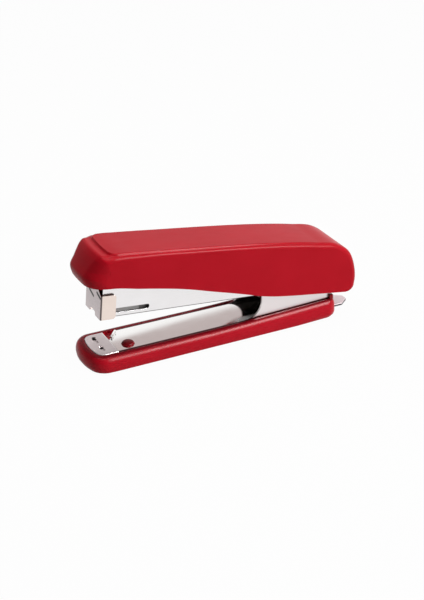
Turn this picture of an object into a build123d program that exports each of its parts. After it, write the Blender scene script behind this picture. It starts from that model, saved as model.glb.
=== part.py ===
from build123d import *
from math import asin, atan2, cos, degrees, hypot, pi, radians, sin
import os

# A desk stapler, millimetres. +X runs from the nose to the hinge, +Z is up, the desk is z = 0,
# and the origin lies under the middle of the base. The model stands as it rests on a desk, open.

# Base shell and sole
base_length = 128.6
base_width = 28.8
rear_taper = 0.9
base_top = 7.6
shell_bottom = 0.8
waist_height = 4.2
front_bow = 28.0
rear_bow = 25.0
front_corner = 8.0
rear_corner = 3.8
front_lean = 0.2
side_lean = 0.2
rear_lean = 1.6
rim_round = 3.3
shell_wall = 1.5
deck_thick = 2.0
sole_thick = 1.8
sole_ledge = 1.2
sole_clear = 0.15
collar_top = 11.2
collar_half = 11.2
collar_reach = 2.3
collar_inset = 1.2
collar_round = 0.5

# Steel floor plate with its two ears, and the anvil in front of it
plate_sink = 0.1
plate_thick = 0.9
tray_clear = 0.15
staple_inset = 8.7
anvil_front = 4.3
anvil_length = 10.5
anvil_thick = 1.1
anvil_corner = 3.6
anvil_bow = 30.0
anvil_gap = 0.1
groove_length = 5.0
groove_width = 1.8
groove_depth = 0.6
groove_inset = 0.1
anvil_tab_width = 4.0
anvil_tab_thick = 1.2
stud_radius = 2.9
stud_clear = 0.15
stud_proud = 1.3
stud_round = 1.0
stud_behind = 12.6
stud_side = 4.7
notch_length = 6.5
notch_width = 8.0
lug_length = 6.4
lug_height = 1.1
lug_thick = 0.8
lug_hole = 0.35
lug_spacing = 3.4
ear_front = 33.0
ear_rear = 4.6
ear_top = 3.4
ear_corner = 2.5
ear_sweep = 5.8

# Hinge pin
hinge_inset = 8.9
hinge_z = 18.0
pin_radius = 2.0
pin_clear = 0.05
pin_head_radius = 3.2
pin_head_thick = 1.1
side_gap = 0.3
bush_radius = 3.0

# Staple remover under the tail
blade_thick = 1.1
blade_half = 5.3
blade_root = 8.0
blade_reach = 9.5
blade_taper = 4.7
blade_tip_half = 1.6
blade_clear = 0.05

# Rivets through the tail
rivet_radius = 1.4
rivet_clear = 0.05
rivet_head = 2.2
rivet_head_thick = 0.7
tail_rivets = (-3.5, 2.4)

# Lift spring under the magazine
lift_thick = 0.6
lift_width = 8.0
lift_foot_front = 9.0
lift_foot_rear = 5.0
lift_touch = 25.0
lift_pad = 4.0
lift_curl = 2.0
lift_bend = 1.5
touch_gap = 0.02

# The staple that it takes
staple_crown = 13.0
staple_wire = 0.5
staple_clear = 0.2

# Magazine, in its own frame: s along it from the hinge pin, w square to it
magazine_tilt = 4.9
sheet = 0.8
magazine_bottom = -3.1
magazine_top = 11.4
magazine_end_round = 5.2
magazine_slope_front = 42.0
magazine_slope_rear = 20.0
floor_end = 14.0
exit_length = 1.8
window_length = 16.6
window_height = 1.7
window_centre = 3.1

# Head plate wrapped round the nose
head_thick = 1.2
head_depth = 7.2
head_height = 11.5
head_drop = 0.25
head_rise = 4.2
head_bend = 0.7
head_corner = 1.4
head_notch_width = 5.2
head_notch_depth = 1.8
head_notch_round = 0.9
head_cut_top = 2.2

# Staple rail, pusher, its rod and spring
driver_gap = 0.4
driver_thick = 0.6
rail_clear = 0.3
rail_height = 5.5
rail_gap = 0.3
rail_end = 40.0
pusher_length = 16.0
pusher_side_gap = 0.2
pusher_rail_gap = 0.15
pusher_height = 4.5
pusher_front_gap = 0.7
pusher_travel = 40.0
pusher_round = 0.8
rod_radius = 0.8
rod_clear = 0.3
rod_height = 2.4
rod_front = 3.0
block_length = 7.0
block_rise = 4.6
block_rivet_radius = 1.2
coil_radius = 1.75
coil_wire = 0.45
coil_turns = 20
coil_end_gap = 0.1

# Cover, in its own frame: u along it from the hinge pin, v square to it
cover_tilt = 9.0
cover_side_gap = 1.3
cover_wall = 2.0
cover_round = 2.8
cover_skirt = -3.5
cover_step_rear = 29.0
cover_step_front = 74.0
cover_step_rise = 6.9
cover_lip_rise = 9.9
nose_lip = 8.8
nose_overhang = 11.3
nose_rise = 10.0
nose_setback = 5.4
nose_top = 20.4
nose_bow = 60.0
nose_corner = 5.0
crown_reach = 45.0
crown_top = 22.9
tail_reach = 15.8
tail_corner = 3.0
shoulder_reach = 9.0
shoulder_top = 21.7

# Press arm that carries the driver under the cover
arm_sheet = 0.8
arm_top = 13.4
arm_web = 1.0
arm_depth = 3.9
arm_setback = 8.0
arm_slope_front = 46.0
arm_slope_rear = 26.0
arm_round = 4.8
driver_lip = 7.0
driver_side_gap = 0.3
driver_tip_gap = 0.3
driver_stroke = 4.0
arm_rivet_radius = 1.1
arm_rivet_head = 2.0
arm_rivet_head_thick = 0.7
driver_rivet_spacing = 7.0
press_thick = 0.5
press_width = 7.0
press_root = 66.0
press_pad = 8.0
press_bend = 6.0
press_touch = 36.0
press_curl = 2.2
boss_radius = 3.2
boss_setback = 15.0
boss_rear = 46.0
screw_radius = 1.2
screw_length = 6.0
screw_head = 2.5
screw_head_thick = 1.4

# Places worked out from the sizes above
front_x = -base_length / 2
rear_x = base_length / 2
staple_x = front_x + staple_inset
hinge_x = rear_x - hinge_inset
hinge_reach = hinge_x - staple_x
base_half = base_width / 2
channel_inner = staple_crown / 2 + staple_clear
magazine_half = channel_inner + sheet
arm_inner = magazine_half + side_gap
arm_outer = arm_inner + arm_sheet
ear_inner = arm_outer + side_gap
plate_half = ear_inner + plate_thick
cover_half = plate_half + pin_head_thick + cover_side_gap + cover_wall
plate_top = base_top - plate_sink
plate_bottom = plate_top - plate_thick
deck_bottom = plate_bottom - deck_thick
anvil_start = staple_x - anvil_front
anvil_end = anvil_start + anvil_length
anvil_top = plate_bottom + anvil_thick
groove_spacing = staple_crown - 2 * groove_inset - groove_length
plate_start = anvil_end + anvil_gap
plate_end = hinge_x + ear_rear
floor_top = magazine_bottom + sheet
head_bottom = magazine_bottom - head_drop
driver_s = -hinge_reach
driver_half = channel_inner - driver_side_gap
nose_inner = driver_s - driver_thick / 2 - driver_gap
nose_outer = nose_inner - head_thick
rail_half = staple_crown / 2 - staple_wire - rail_clear
rail_front = driver_s + driver_thick / 2 + rail_gap
rail_top = floor_top + rail_height
pusher_front = rail_front + pusher_front_gap
pusher_back = pusher_front + pusher_length
pusher_top = rail_top + pusher_rail_gap + pusher_height
rod_w = rail_top + rod_height
block_top = rail_top + block_rise
web_bottom = arm_top - arm_web
arm_front = hinge_reach - arm_setback
boss_places = (-arm_front + boss_setback, -boss_rear)
nose_reach = hinge_reach + nose_overhang
nose_top_reach = nose_reach - nose_setback
cover_lip = nose_reach - nose_lip

# The magazine closes until the head stands over the anvil by a sheet of paper
paper_gap = 0.3
head_radius = hypot(nose_outer, head_bottom)
head_phase = degrees(atan2(-head_bottom, -nose_outer))
closed_tilt = degrees(asin((anvil_top + paper_gap - hinge_z) / head_radius)) + head_phase
close_angle = magazine_tilt - closed_tilt
rest_lead = cover_tilt - magazine_tilt


def side_frame(tilt):
    """Plane through the hinge pin, seen from the near side: local x along the piece, local y square to it."""
    c, s = cos(radians(tilt)), sin(radians(tilt))
    return Plane((hinge_x, 0, hinge_z), x_dir=(c, 0, -s), z_dir=(0, -1, 0))


def plan_frame(tilt):
    """Plane through the hinge pin, seen from above the piece: local x along it, local y across it."""
    c, s = cos(radians(tilt)), sin(radians(tilt))
    return Plane((hinge_x, 0, hinge_z), x_dir=(c, 0, -s), z_dir=(s, 0, c))


def cross_frame(tilt):
    """Plane across the piece at the hinge pin: local x across it, local y square to it."""
    c, s = cos(radians(tilt)), sin(radians(tilt))
    return Plane((hinge_x, 0, hinge_z), x_dir=(0, 1, 0), z_dir=(c, 0, -s))


def base_outline(height, front_in, side_in, rear_in):
    """Plan of the base at a height: narrower behind, bowed ends, round corners, drawn in from the full size."""
    half = base_half - side_in
    rear_half = half - rear_taper
    start = front_x + front_in
    end = rear_x - rear_in
    front_sag = front_bow - (front_bow**2 - half**2) ** 0.5
    rear_sag = rear_bow - (rear_bow**2 - rear_half**2) ** 0.5
    with BuildSketch(Plane.XY.offset(height)) as outline:
        with BuildLine():
            ThreePointArc((start + front_sag, -half), (start, 0), (start + front_sag, half))
            Line((start + front_sag, half), (end - rear_sag, rear_half))
            ThreePointArc((end - rear_sag, rear_half), (end, 0), (end - rear_sag, -rear_half))
            Line((end - rear_sag, -rear_half), (start + front_sag, -half))
        make_face()
        corners = outline.vertices().sort_by(Axis.X)
        fillet(corners[:2], front_corner)
        fillet(outline.vertices().sort_by(Axis.X)[-2:], rear_corner)
    return outline.sketch


def tray_outline(height, end, margin):
    """Plan of the seat of anvil and plate: a bowed front with round corners, straight sides, a straight end."""
    half = plate_half + margin
    start = anvil_start - margin
    sag = anvil_bow - (anvil_bow**2 - half**2) ** 0.5
    with BuildSketch(Plane.XY.offset(height)) as outline:
        with BuildLine():
            ThreePointArc((start + sag, -half), (start, 0), (start + sag, half))
            Polyline((start + sag, half), (end, half), (end, -half), (start + sag, -half))
        make_face()
        fillet(outline.vertices().sort_by(Axis.X)[:2], anvil_corner)
    return outline.sketch


def seat_on(frame, s, w):
    """World X and Z of a point given along and square to a tilted piece."""
    point = frame.from_local_coords(Vector(s, w, 0))
    return point.X, point.Z


magazine_side = side_frame(magazine_tilt)
magazine_plan = plan_frame(magazine_tilt)
magazine_cross = cross_frame(magazine_tilt)
cover_side = side_frame(cover_tilt)
cover_plan = plan_frame(cover_tilt)
stud_place = (staple_x + stud_behind, -stud_side)
rivet_places = [(hinge_x + place, 0) for place in tail_rivets]
driver_rivet_u = driver_s + driver_lip / 2 + driver_thick
arm_rivet_places = [
    (driver_rivet_u, driver_rivet_spacing / 2),
    (driver_rivet_u, -driver_rivet_spacing / 2),
    (-press_root + press_pad / 2, 0),
]

# Base shell: leaning foot, rounded rim, tray for the plate, heat-staked stud, open underside
sole_end = hinge_x - blade_root - sole_ledge
with BuildPart() as base_shell:
    foot = base_outline(shell_bottom, front_lean, side_lean, rear_lean)
    waist = base_outline(waist_height, 0, 0, 0)
    loft(sections=[foot, waist], ruled=True)
    extrude(waist, amount=base_top - waist_height)
    fillet(base_shell.faces().sort_by(Axis.Z)[-1].edges(), rim_round)
    collar_start = hinge_x + collar_reach
    with BuildSketch(Plane.XY.offset(plate_bottom)):
        add(base_outline(0, 0, base_half - rear_taper - collar_half, collar_inset))
        with Locations((collar_start - base_length / 2, 0)):
            Rectangle(base_length, 2 * base_width, mode=Mode.SUBTRACT)
    extrude(amount=collar_top - plate_bottom)
    collar_edges = base_shell.edges().filter_by_position(Axis.Z, collar_top - 0.01, collar_top + 0.01)
    fillet(collar_edges, collar_round)
    extrude(tray_outline(plate_bottom, plate_end + tray_clear, tray_clear), amount=base_top, mode=Mode.SUBTRACT)
    with BuildSketch(Plane.XY.offset(shell_bottom)) as sole_seat:
        add(base_outline(0, front_lean + sole_ledge, side_lean + sole_ledge, 0))
        with Locations((sole_end + base_length / 2, 0)):
            Rectangle(base_length, 2 * base_width, mode=Mode.SUBTRACT)
    extrude(amount=sole_thick - shell_bottom, mode=Mode.SUBTRACT)
    with BuildSketch(Plane.XY.offset(sole_thick)) as hollow:
        inset = sole_ledge + shell_wall
        add(base_outline(0, front_lean + inset, side_lean + inset, 0))
        with Locations((sole_end - shell_wall + base_length / 2, 0)):
            Rectangle(base_length, 2 * base_width, mode=Mode.SUBTRACT)
    extrude(amount=deck_bottom - sole_thick, mode=Mode.SUBTRACT)
    with BuildSketch(Plane.XY.offset(plate_bottom)):
        with Locations(stud_place):
            Circle(stud_radius)
    extrude(amount=plate_thick + stud_proud)
    stud_edges = base_shell.edges().filter_by(GeomType.CIRCLE)
    stud_top = plate_top + stud_proud
    fillet(stud_edges.filter_by_position(Axis.Z, stud_top - 0.01, stud_top + 0.01), stud_round)
    with BuildSketch(Plane.XY):
        pocket_start = hinge_x - blade_root - blade_clear
        with Locations((pocket_start + base_length / 2, 0)):
            Rectangle(base_length, 2 * (blade_half + blade_clear))
    extrude(amount=shell_bottom + blade_thick + 2 * blade_clear, mode=Mode.SUBTRACT)
    with BuildSketch(Plane.XY):
        with Locations(*rivet_places):
            Circle(rivet_radius + rivet_clear)
    extrude(amount=base_top, mode=Mode.SUBTRACT)
    with BuildSketch(Plane.XY):
        tab_x = anvil_end - anvil_tab_thick / 2
        with Locations((tab_x, plate_half / 2), (tab_x, -plate_half / 2)):
            Rectangle(anvil_tab_thick + 2 * tray_clear, anvil_tab_width + 2 * tray_clear)
    extrude(amount=base_top, mode=Mode.SUBTRACT)
base_shell.part.label = "base_shell"

# Rubber sole pressed into the underside
with BuildPart() as sole_pad:
    with BuildSketch(Plane.XY):
        sole_in = sole_ledge + sole_clear
        add(base_outline(0, front_lean + sole_in, side_lean + sole_in, 0))
        with Locations((sole_end - sole_clear + base_length / 2, 0)):
            Rectangle(base_length, 2 * base_width, mode=Mode.SUBTRACT)
    extrude(amount=sole_thick)
    fillet(sole_pad.faces().sort_by(Axis.Z)[0].edges(), shell_bottom / 2)
sole_pad.part.label = "sole_pad"

# Floor plate: flat sheet with ears bent up beside the hinge
ear_start = hinge_x - ear_front
ear_high = hinge_z + ear_top
notch_slant = degrees(atan2(notch_width, notch_length))
lug_place = Plane((plate_start + notch_length / 2, plate_half - notch_width / 2, plate_top),
                  x_dir=(cos(radians(notch_slant)), sin(radians(notch_slant)), 0),
                  z_dir=(sin(radians(notch_slant)), -cos(radians(notch_slant)), 0))
with BuildPart() as base_plate:
    with BuildSketch(Plane.XY.offset(plate_bottom)):
        with Locations(((plate_start + plate_end) / 2, 0)):
            Rectangle(plate_end - plate_start, 2 * plate_half)
        with Locations(stud_place):
            Circle(stud_radius + stud_clear, mode=Mode.SUBTRACT)
        with Locations(*rivet_places):
            Circle(rivet_radius + rivet_clear, mode=Mode.SUBTRACT)
        with BuildLine():
            Polyline(
                (plate_start, plate_half),
                (plate_start + notch_length, plate_half),
                (plate_start, plate_half - notch_width),
                close=True,
            )
        make_face(mode=Mode.SUBTRACT)
    extrude(amount=plate_thick)
    for ear_face in (ear_inner, -plate_half):
        with BuildSketch(Plane.XZ.offset(ear_face)) as ear:
            with BuildLine():
                Polyline(
                    (ear_start - ear_sweep, plate_top),
                    (ear_start - ear_sweep, plate_bottom),
                    (plate_end, plate_bottom),
                    (plate_end, ear_high),
                    (ear_start, ear_high),
                    (ear_start, plate_top + ear_sweep),
                )
                RadiusArc((ear_start, plate_top + ear_sweep), (ear_start - ear_sweep, plate_top), ear_sweep)
            make_face()
            fillet(ear.vertices().group_by(Axis.Y)[-1], ear_corner)
            with Locations((hinge_x, hinge_z)):
                Circle(pin_radius + pin_clear, mode=Mode.SUBTRACT)
        extrude(amount=plate_thick)
    with BuildSketch(lug_place) as lug:
        with Locations((0, lug_height / 2)):
            Rectangle(lug_length, lug_height)
        fillet(lug.vertices().group_by(Axis.Y)[-1], lug_height / 3)
        with Locations((lug_spacing / 2, lug_height / 2), (-lug_spacing / 2, lug_height / 2)):
            Circle(lug_hole, mode=Mode.SUBTRACT)
    extrude(amount=lug_thick)
base_plate.part.label = "base_plate"

# Anvil: satin plate with one pair of clinching grooves, held by two tabs through the deck
landing_x, landing_z = seat_on(side_frame(closed_tilt), driver_s, head_bottom)
with BuildPart() as anvil_plate:
    extrude(tray_outline(plate_bottom, anvil_end, 0), amount=anvil_thick)
    fillet(anvil_plate.faces().sort_by(Axis.Z)[-1].edges(), anvil_thick / 4)
    with BuildSketch(Plane.XY.offset(anvil_top)):
        with Locations((landing_x, groove_spacing / 2), (landing_x, -groove_spacing / 2)):
            SlotOverall(groove_length, groove_width, rotation=90)
    extrude(amount=-groove_depth, mode=Mode.SUBTRACT)
    with BuildSketch(Plane.XY.offset(deck_bottom)):
        with Locations((tab_x, plate_half / 2), (tab_x, -plate_half / 2)):
            Rectangle(anvil_tab_thick, anvil_tab_width)
    extrude(amount=plate_bottom - deck_bottom)
anvil_plate.part.label = "anvil_plate"

# Staple remover: flat pointed blade under the tail
blade_start = hinge_x - blade_root
blade_tip = rear_x + blade_reach
with BuildPart() as remover_blade:
    with BuildSketch(Plane.XY.offset(shell_bottom + blade_clear)) as blade:
        with BuildLine():
            Polyline(
                (blade_start, -blade_half),
                (blade_tip - blade_taper, -blade_half),
                (blade_tip, -blade_tip_half),
                (blade_tip, blade_tip_half),
                (blade_tip - blade_taper, blade_half),
                (blade_start, blade_half),
                close=True,
            )
        make_face()
        fillet(blade.vertices().group_by(Axis.X)[-1], blade_tip_half * 0.9)
        with Locations(*rivet_places):
            Circle(rivet_radius + rivet_clear, mode=Mode.SUBTRACT)
    extrude(amount=blade_thick)
    tip_edges = remover_blade.faces().sort_by(Axis.Z)[-1].outer_wire().edges()
    chamfer(tip_edges, blade_thick / 3)
remover_blade.part.label = "remover_blade"

# Rivets that hold blade, shell, plate and spring foot together
stack_bottom = shell_bottom + blade_clear
stack_top = plate_top + lift_thick
with BuildPart() as tail_rivet_set:
    with BuildSketch(Plane.XY.offset(stack_bottom)):
        with Locations(*rivet_places):
            Circle(rivet_radius)
    extrude(amount=stack_top - stack_bottom)
    with BuildSketch(Plane.XY.offset(stack_bottom)):
        with Locations(*rivet_places):
            Circle(rivet_head)
    extrude(amount=-rivet_head_thick)
    with BuildSketch(Plane.XY.offset(stack_top)):
        with Locations(*rivet_places):
            Circle(rivet_head)
    extrude(amount=rivet_head_thick)
    head_edges = tail_rivet_set.edges().filter_by(GeomType.CIRCLE).group_by(Axis.Z)
    fillet(head_edges[-1] + head_edges[0], rivet_head_thick / 2)
tail_rivet_set.part.label = "tail_rivets"

# Lift spring: a leaf under the magazine that holds the nose up
lift_seat = magazine_bottom - touch_gap - lift_thick
pad_rear = seat_on(magazine_side, -lift_touch, lift_seat)
pad_front = seat_on(magazine_side, -lift_touch - lift_pad, lift_seat)
curl_end = seat_on(magazine_side, -lift_touch - lift_pad - lift_curl, lift_seat - lift_curl)
with BuildPart() as lift_spring:
    with BuildSketch(Plane.XZ):
        with BuildLine():
            FilletPolyline(
                (hinge_x + lift_foot_rear - lift_thick, plate_top),
                (hinge_x - lift_foot_front, plate_top),
                pad_rear,
                pad_front,
                curl_end,
                radius=lift_bend,
            )
            offset(amount=lift_thick, side=Side.RIGHT)
        make_face()
    extrude(amount=lift_width / 2, both=True)
    with BuildSketch(Plane.XY.offset(plate_top)):
        with Locations(*rivet_places):
            Circle(rivet_radius + rivet_clear)
    extrude(amount=2 * lift_thick, mode=Mode.SUBTRACT)
lift_spring.part.label = "lift_spring"

# Hinge pin, riveted over outside both ears
with BuildPart() as hinge_pin:
    with BuildSketch(Plane.XZ):
        with Locations((hinge_x, hinge_z)):
            Circle(pin_radius)
    extrude(amount=plate_half, both=True)
    with BuildSketch(Plane.XZ.offset(plate_half)):
        with Locations((hinge_x, hinge_z)):
            Circle(pin_head_radius)
    extrude(amount=pin_head_thick)
    fillet(hinge_pin.faces().sort_by(Axis.Y)[0].edges(), pin_head_thick / 2)
    mirror(about=Plane.XZ)
hinge_pin.part.label = "hinge_pin"

# Magazine channel: folded U with a window in each wall
with BuildPart() as magazine_channel:
    with BuildSketch(magazine_side):
        end_s = (magazine_end_round**2 - magazine_bottom**2) ** 0.5
        with BuildLine():
            Line((nose_inner, magazine_bottom), (end_s, magazine_bottom))
            ThreePointArc(
                (end_s, magazine_bottom),
                (magazine_end_round * cos(pi / 6), magazine_end_round * sin(pi / 6)),
                (0, magazine_end_round),
            )
            Polyline(
                (0, magazine_end_round),
                (-magazine_slope_rear, magazine_end_round),
                (-magazine_slope_front, magazine_top),
                (nose_inner, magazine_top),
                (nose_inner, magazine_bottom),
            )
        make_face()
        with Locations((0, 0)):
            Circle(pin_radius + pin_clear, mode=Mode.SUBTRACT)
        window_s = nose_outer + head_depth + (window_length - window_height) / 2
        with Locations((window_s, magazine_bottom + window_centre)):
            SlotOverall(window_length + window_height, window_height, mode=Mode.SUBTRACT)
    extrude(amount=magazine_half, both=True)
    lower_edges = magazine_channel.edges().filter_by(Axis((0, 0, 0), tuple(magazine_side.x_dir)))
    outer_low = lower_edges.filter_by(
        lambda e: abs(abs(e.center().Y) - magazine_half) < 0.01
        and magazine_side.to_local_coords(e.center()).Y < magazine_bottom + 0.01)
    fillet(outer_low, sheet * 0.75)
    with BuildSketch(magazine_plan.offset(floor_top)):
        Rectangle(3 * hinge_reach, 2 * channel_inner)
    extrude(amount=2 * magazine_top, mode=Mode.SUBTRACT)
    with BuildSketch(magazine_plan.offset(magazine_bottom)):
        with Locations((nose_inner + exit_length / 2, 0)):
            Rectangle(exit_length, 2 * channel_inner)
        with Locations((-floor_end + hinge_reach / 2, 0)):
            Rectangle(hinge_reach, 2 * channel_inner)
    extrude(amount=2 * sheet, both=True, mode=Mode.SUBTRACT)
    with BuildSketch(magazine_side):
        with Locations((-rail_end + block_length / 2, rail_top)):
            Circle(block_rivet_radius + rivet_clear)
    extrude(amount=magazine_half, both=True, mode=Mode.SUBTRACT)
magazine_channel.part.label = "magazine_channel"

# Head plate: folded round the nose, high at the front, with one corner cut away and a notch below
head_half = magazine_half + head_thick
head_top = head_bottom + head_height
with BuildPart() as head_plate:
    with BuildSketch(magazine_cross.offset(nose_outer)) as front_face:
        with BuildLine():
            Polyline(
                (-head_half, head_bottom),
                (-head_notch_width / 2, head_bottom),
                (-head_notch_width / 2, head_bottom + head_notch_depth),
                (head_notch_width / 2, head_bottom + head_notch_depth),
                (head_notch_width / 2, head_bottom),
                (head_half, head_bottom),
                (head_half, head_top),
                (head_half - head_corner, head_top + head_rise),
                (-head_cut_top, head_top + head_rise),
                (-head_half + head_bend, head_top),
                (-head_half, head_top),
                close=True,
            )
        make_face()
        notch_corners = front_face.vertices().filter_by(
            lambda p: abs(abs(p.X) - head_notch_width / 2) < 0.01)
        fillet(notch_corners, head_notch_round)
    extrude(amount=head_thick)
    for flange_face in (magazine_half, -head_half):
        with BuildSketch(magazine_side.offset(flange_face)) as flange:
            with Locations((nose_outer + head_depth / 2, head_bottom + head_height / 2)):
                Rectangle(head_depth, head_height)
            fillet(flange.vertices().group_by(Axis.X)[-1], head_corner)
        extrude(amount=head_thick)
    bends = head_plate.edges().filter_by(
        lambda e: abs(abs(e.center().Y) - head_half) < 0.01
        and abs(magazine_side.to_local_coords(e.center()).X - nose_outer) < 0.01)
    fillet(bends, head_bend)
head_plate.part.label = "head_plate"

# Staple rail: folded core that the staples straddle
with BuildPart() as staple_rail:
    with BuildSketch(magazine_cross.offset(rail_front)):
        with Locations((0, floor_top + rail_height / 2)):
            Rectangle(2 * rail_half, rail_height)
        with Locations((0, floor_top + (rail_height - sheet) / 2)):
            Rectangle(2 * (rail_half - sheet), rail_height - sheet, mode=Mode.SUBTRACT)
    extrude(amount=-rail_end - rail_front)
    rail_edges = staple_rail.edges().filter_by(Axis((0, 0, 0), tuple(magazine_side.x_dir)))
    fillet(rail_edges.filter_by(
        lambda e: abs(abs(e.center().Y) - rail_half) < 0.01
        and magazine_side.to_local_coords(e.center()).Y > rail_top - 0.01), sheet * 0.75)
staple_rail.part.label = "staple_rail"

# Block behind the rail that anchors the pusher's rod
block_half = channel_inner - rivet_clear
block_mid = -rail_end + block_length / 2
with BuildPart() as rail_block:
    with BuildSketch(magazine_cross.offset(-rail_end)):
        with Locations((0, (floor_top + block_top) / 2)):
            Rectangle(2 * block_half, block_top - floor_top)
        with Locations((0, rod_w)):
            Circle(rod_radius + rivet_clear, mode=Mode.SUBTRACT)
    extrude(amount=block_length)
    with BuildSketch(magazine_side):
        with Locations((block_mid, rail_top)):
            Circle(block_rivet_radius + rivet_clear)
    extrude(amount=magazine_half, both=True, mode=Mode.SUBTRACT)
rail_block.part.label = "rail_block"

with BuildPart() as block_rivet:
    with BuildSketch(magazine_side):
        with Locations((block_mid, rail_top)):
            Circle(block_rivet_radius)
    extrude(amount=magazine_half, both=True)
    fillet(block_rivet.edges().filter_by(GeomType.CIRCLE), sheet / 4)
block_rivet.part.label = "block_rivet"

# Rod that guides the pusher's spring
rod_start = pusher_front + rod_front
with BuildPart() as spring_rod:
    with BuildSketch(magazine_cross.offset(rod_start)):
        with Locations((0, rod_w)):
            Circle(rod_radius)
    extrude(amount=-rail_end + block_length - rod_start)
    fillet(spring_rod.edges().filter_by(GeomType.CIRCLE), rod_radius / 3)
spring_rod.part.label = "spring_rod"

# Spacer bush on the hinge pin, between the magazine's walls
with BuildPart() as hinge_bush:
    with BuildSketch(Plane.XZ):
        with Locations((hinge_x, hinge_z)):
            Circle(bush_radius)
            Circle(pin_radius + pin_clear, mode=Mode.SUBTRACT)
    extrude(amount=channel_inner, both=True)
hinge_bush.part.label = "hinge_bush"

# Pusher: saddle that slides on the rail behind the staples
pusher_half = channel_inner - pusher_side_gap
pusher_low = floor_top + pusher_side_gap
with BuildPart() as pusher:
    with BuildSketch(magazine_cross.offset(pusher_front)):
        with Locations((0, (pusher_low + pusher_top) / 2)):
            Rectangle(2 * pusher_half, pusher_top - pusher_low)
        with Locations((0, rail_top + pusher_rail_gap - rail_height)):
            Rectangle(2 * (rail_half + pusher_rail_gap), 2 * rail_height, mode=Mode.SUBTRACT)
        with Locations((0, rod_w)):
            Circle(rod_radius + rod_clear, mode=Mode.SUBTRACT)
    extrude(amount=pusher_length)
    top_edges = pusher.edges().filter_by(
        lambda e: e.geom_type == GeomType.LINE
        and magazine_side.to_local_coords(e.center()).Y > pusher_top - 0.01)
    fillet(top_edges, pusher_round)
pusher.part.label = "pusher"

# Pusher spring: a coil round the rod, each half turn drawn as two arcs that share a tangent
coil_start = pusher_back + coil_end_gap + coil_wire / 2
coil_end = -rail_end - coil_end_gap - coil_wire / 2
coil_pitch = (coil_end - coil_start) / coil_turns


def coil_point(turn):
    """Point on the spring's centre line after a number of turns."""
    angle = 2 * pi * turn
    across, up = coil_radius * cos(angle), rod_w + coil_radius * sin(angle)
    return magazine_cross.from_local_coords(Vector(across, up, coil_start + coil_pitch * turn))


def coil_tangent(turn):
    """Unit direction of the spring's centre line after a number of turns."""
    angle = 2 * pi * turn
    around = 2 * pi * coil_radius
    local = Vector(-around * sin(angle), around * cos(angle), coil_pitch)
    return (magazine_cross.from_local_coords(local) - magazine_cross.origin).normalized()


def shared_point(start, start_dir, end, end_dir):
    """Meeting point of two equal-armed arcs that leave start and reach end along the given directions."""
    span = end - start
    both = start_dir + end_dir
    spread = 2 * (1 - start_dir.dot(end_dir))
    along = span.dot(both)
    arm = (-along + (along**2 + spread * span.dot(span)) ** 0.5) / spread
    return (start + end + (start_dir - end_dir) * arm) * 0.5


with BuildPart() as pusher_spring:
    with BuildLine() as coil:
        for half_turn in range(2 * coil_turns):
            first, last = half_turn / 2, (half_turn + 1) / 2
            start, start_dir = coil_point(first), coil_tangent(first)
            end, end_dir = coil_point(last), coil_tangent(last)
            middle = shared_point(start, start_dir, end, end_dir)
            TangentArc(start, middle, tangent=start_dir)
            TangentArc(end, middle, tangent=-end_dir)
    with BuildSketch(Plane(coil_point(0), z_dir=coil_tangent(0))):
        Circle(coil_wire / 2)
    sweep(path=coil.wire())
pusher_spring.part.label = "pusher_spring"
coil_slope = atan2(coil_pitch, 2 * pi * coil_radius)
coil_room = coil_end - coil_start - pusher_travel
print("pusher spring least self gap", round(coil_pitch * cos(coil_slope) - coil_wire, 2))
print("pusher spring pushed back", round(coil_room, 2), "and solid", coil_turns * coil_wire)

# Cover outline seen from the side, with its stepped lower edge and leaning nose
tail_points = ((1.9, 20.3), (8.8, 15.9), (13.7, 9.0))
tail_straight = 1.5
nose_foot = (-nose_reach, cover_skirt + nose_rise)
nose_head = (-nose_top_reach, nose_top)
nose_lean = (Vector(*nose_head) - Vector(*nose_foot)).normalized()
lower_edge = (
    (tail_reach, cover_skirt),
    (-cover_step_rear, cover_skirt),
    (-cover_step_front, cover_skirt + cover_step_rise),
    (-cover_lip, cover_skirt + cover_lip_rise),
    (-nose_reach - cover_wall, cover_skirt + nose_rise),
)
block_edge = (
    (tail_reach, 4 * cover_skirt),
    (-2 * nose_reach, 4 * cover_skirt),
    (-nose_reach - cover_wall, cover_skirt + nose_rise),
)
cavity_front = nose_reach - 1.8 * cover_wall
cavity_edge = (
    (tail_reach - cover_wall, 4 * cover_skirt),
    (-cavity_front, 4 * cover_skirt),
    (-cavity_front, cover_skirt + nose_rise),
)


def cover_profile(edge, inset):
    """Side outline of the cover in its own frame, drawn in from the full size and closed by a lower edge."""
    head = (edge[-1][0] + nose_head[0] - nose_foot[0] - 0.3 * inset, nose_head[1] - inset)
    shoulder = (-shoulder_reach, shoulder_top - inset)
    tail = (tail_reach - inset, tail_straight)
    round_points = [(u - 0.7 * inset, v - 0.7 * inset) for u, v in tail_points]
    with BuildSketch() as profile:
        with BuildLine():
            Polyline(tail, *edge, head)
            crown = ThreePointArc(head, (-crown_reach, crown_top - inset), shoulder)
            Spline(shoulder, *round_points, tail, tangents=(crown % 1, (0, -1)))
        make_face()
    return profile.sketch


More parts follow.
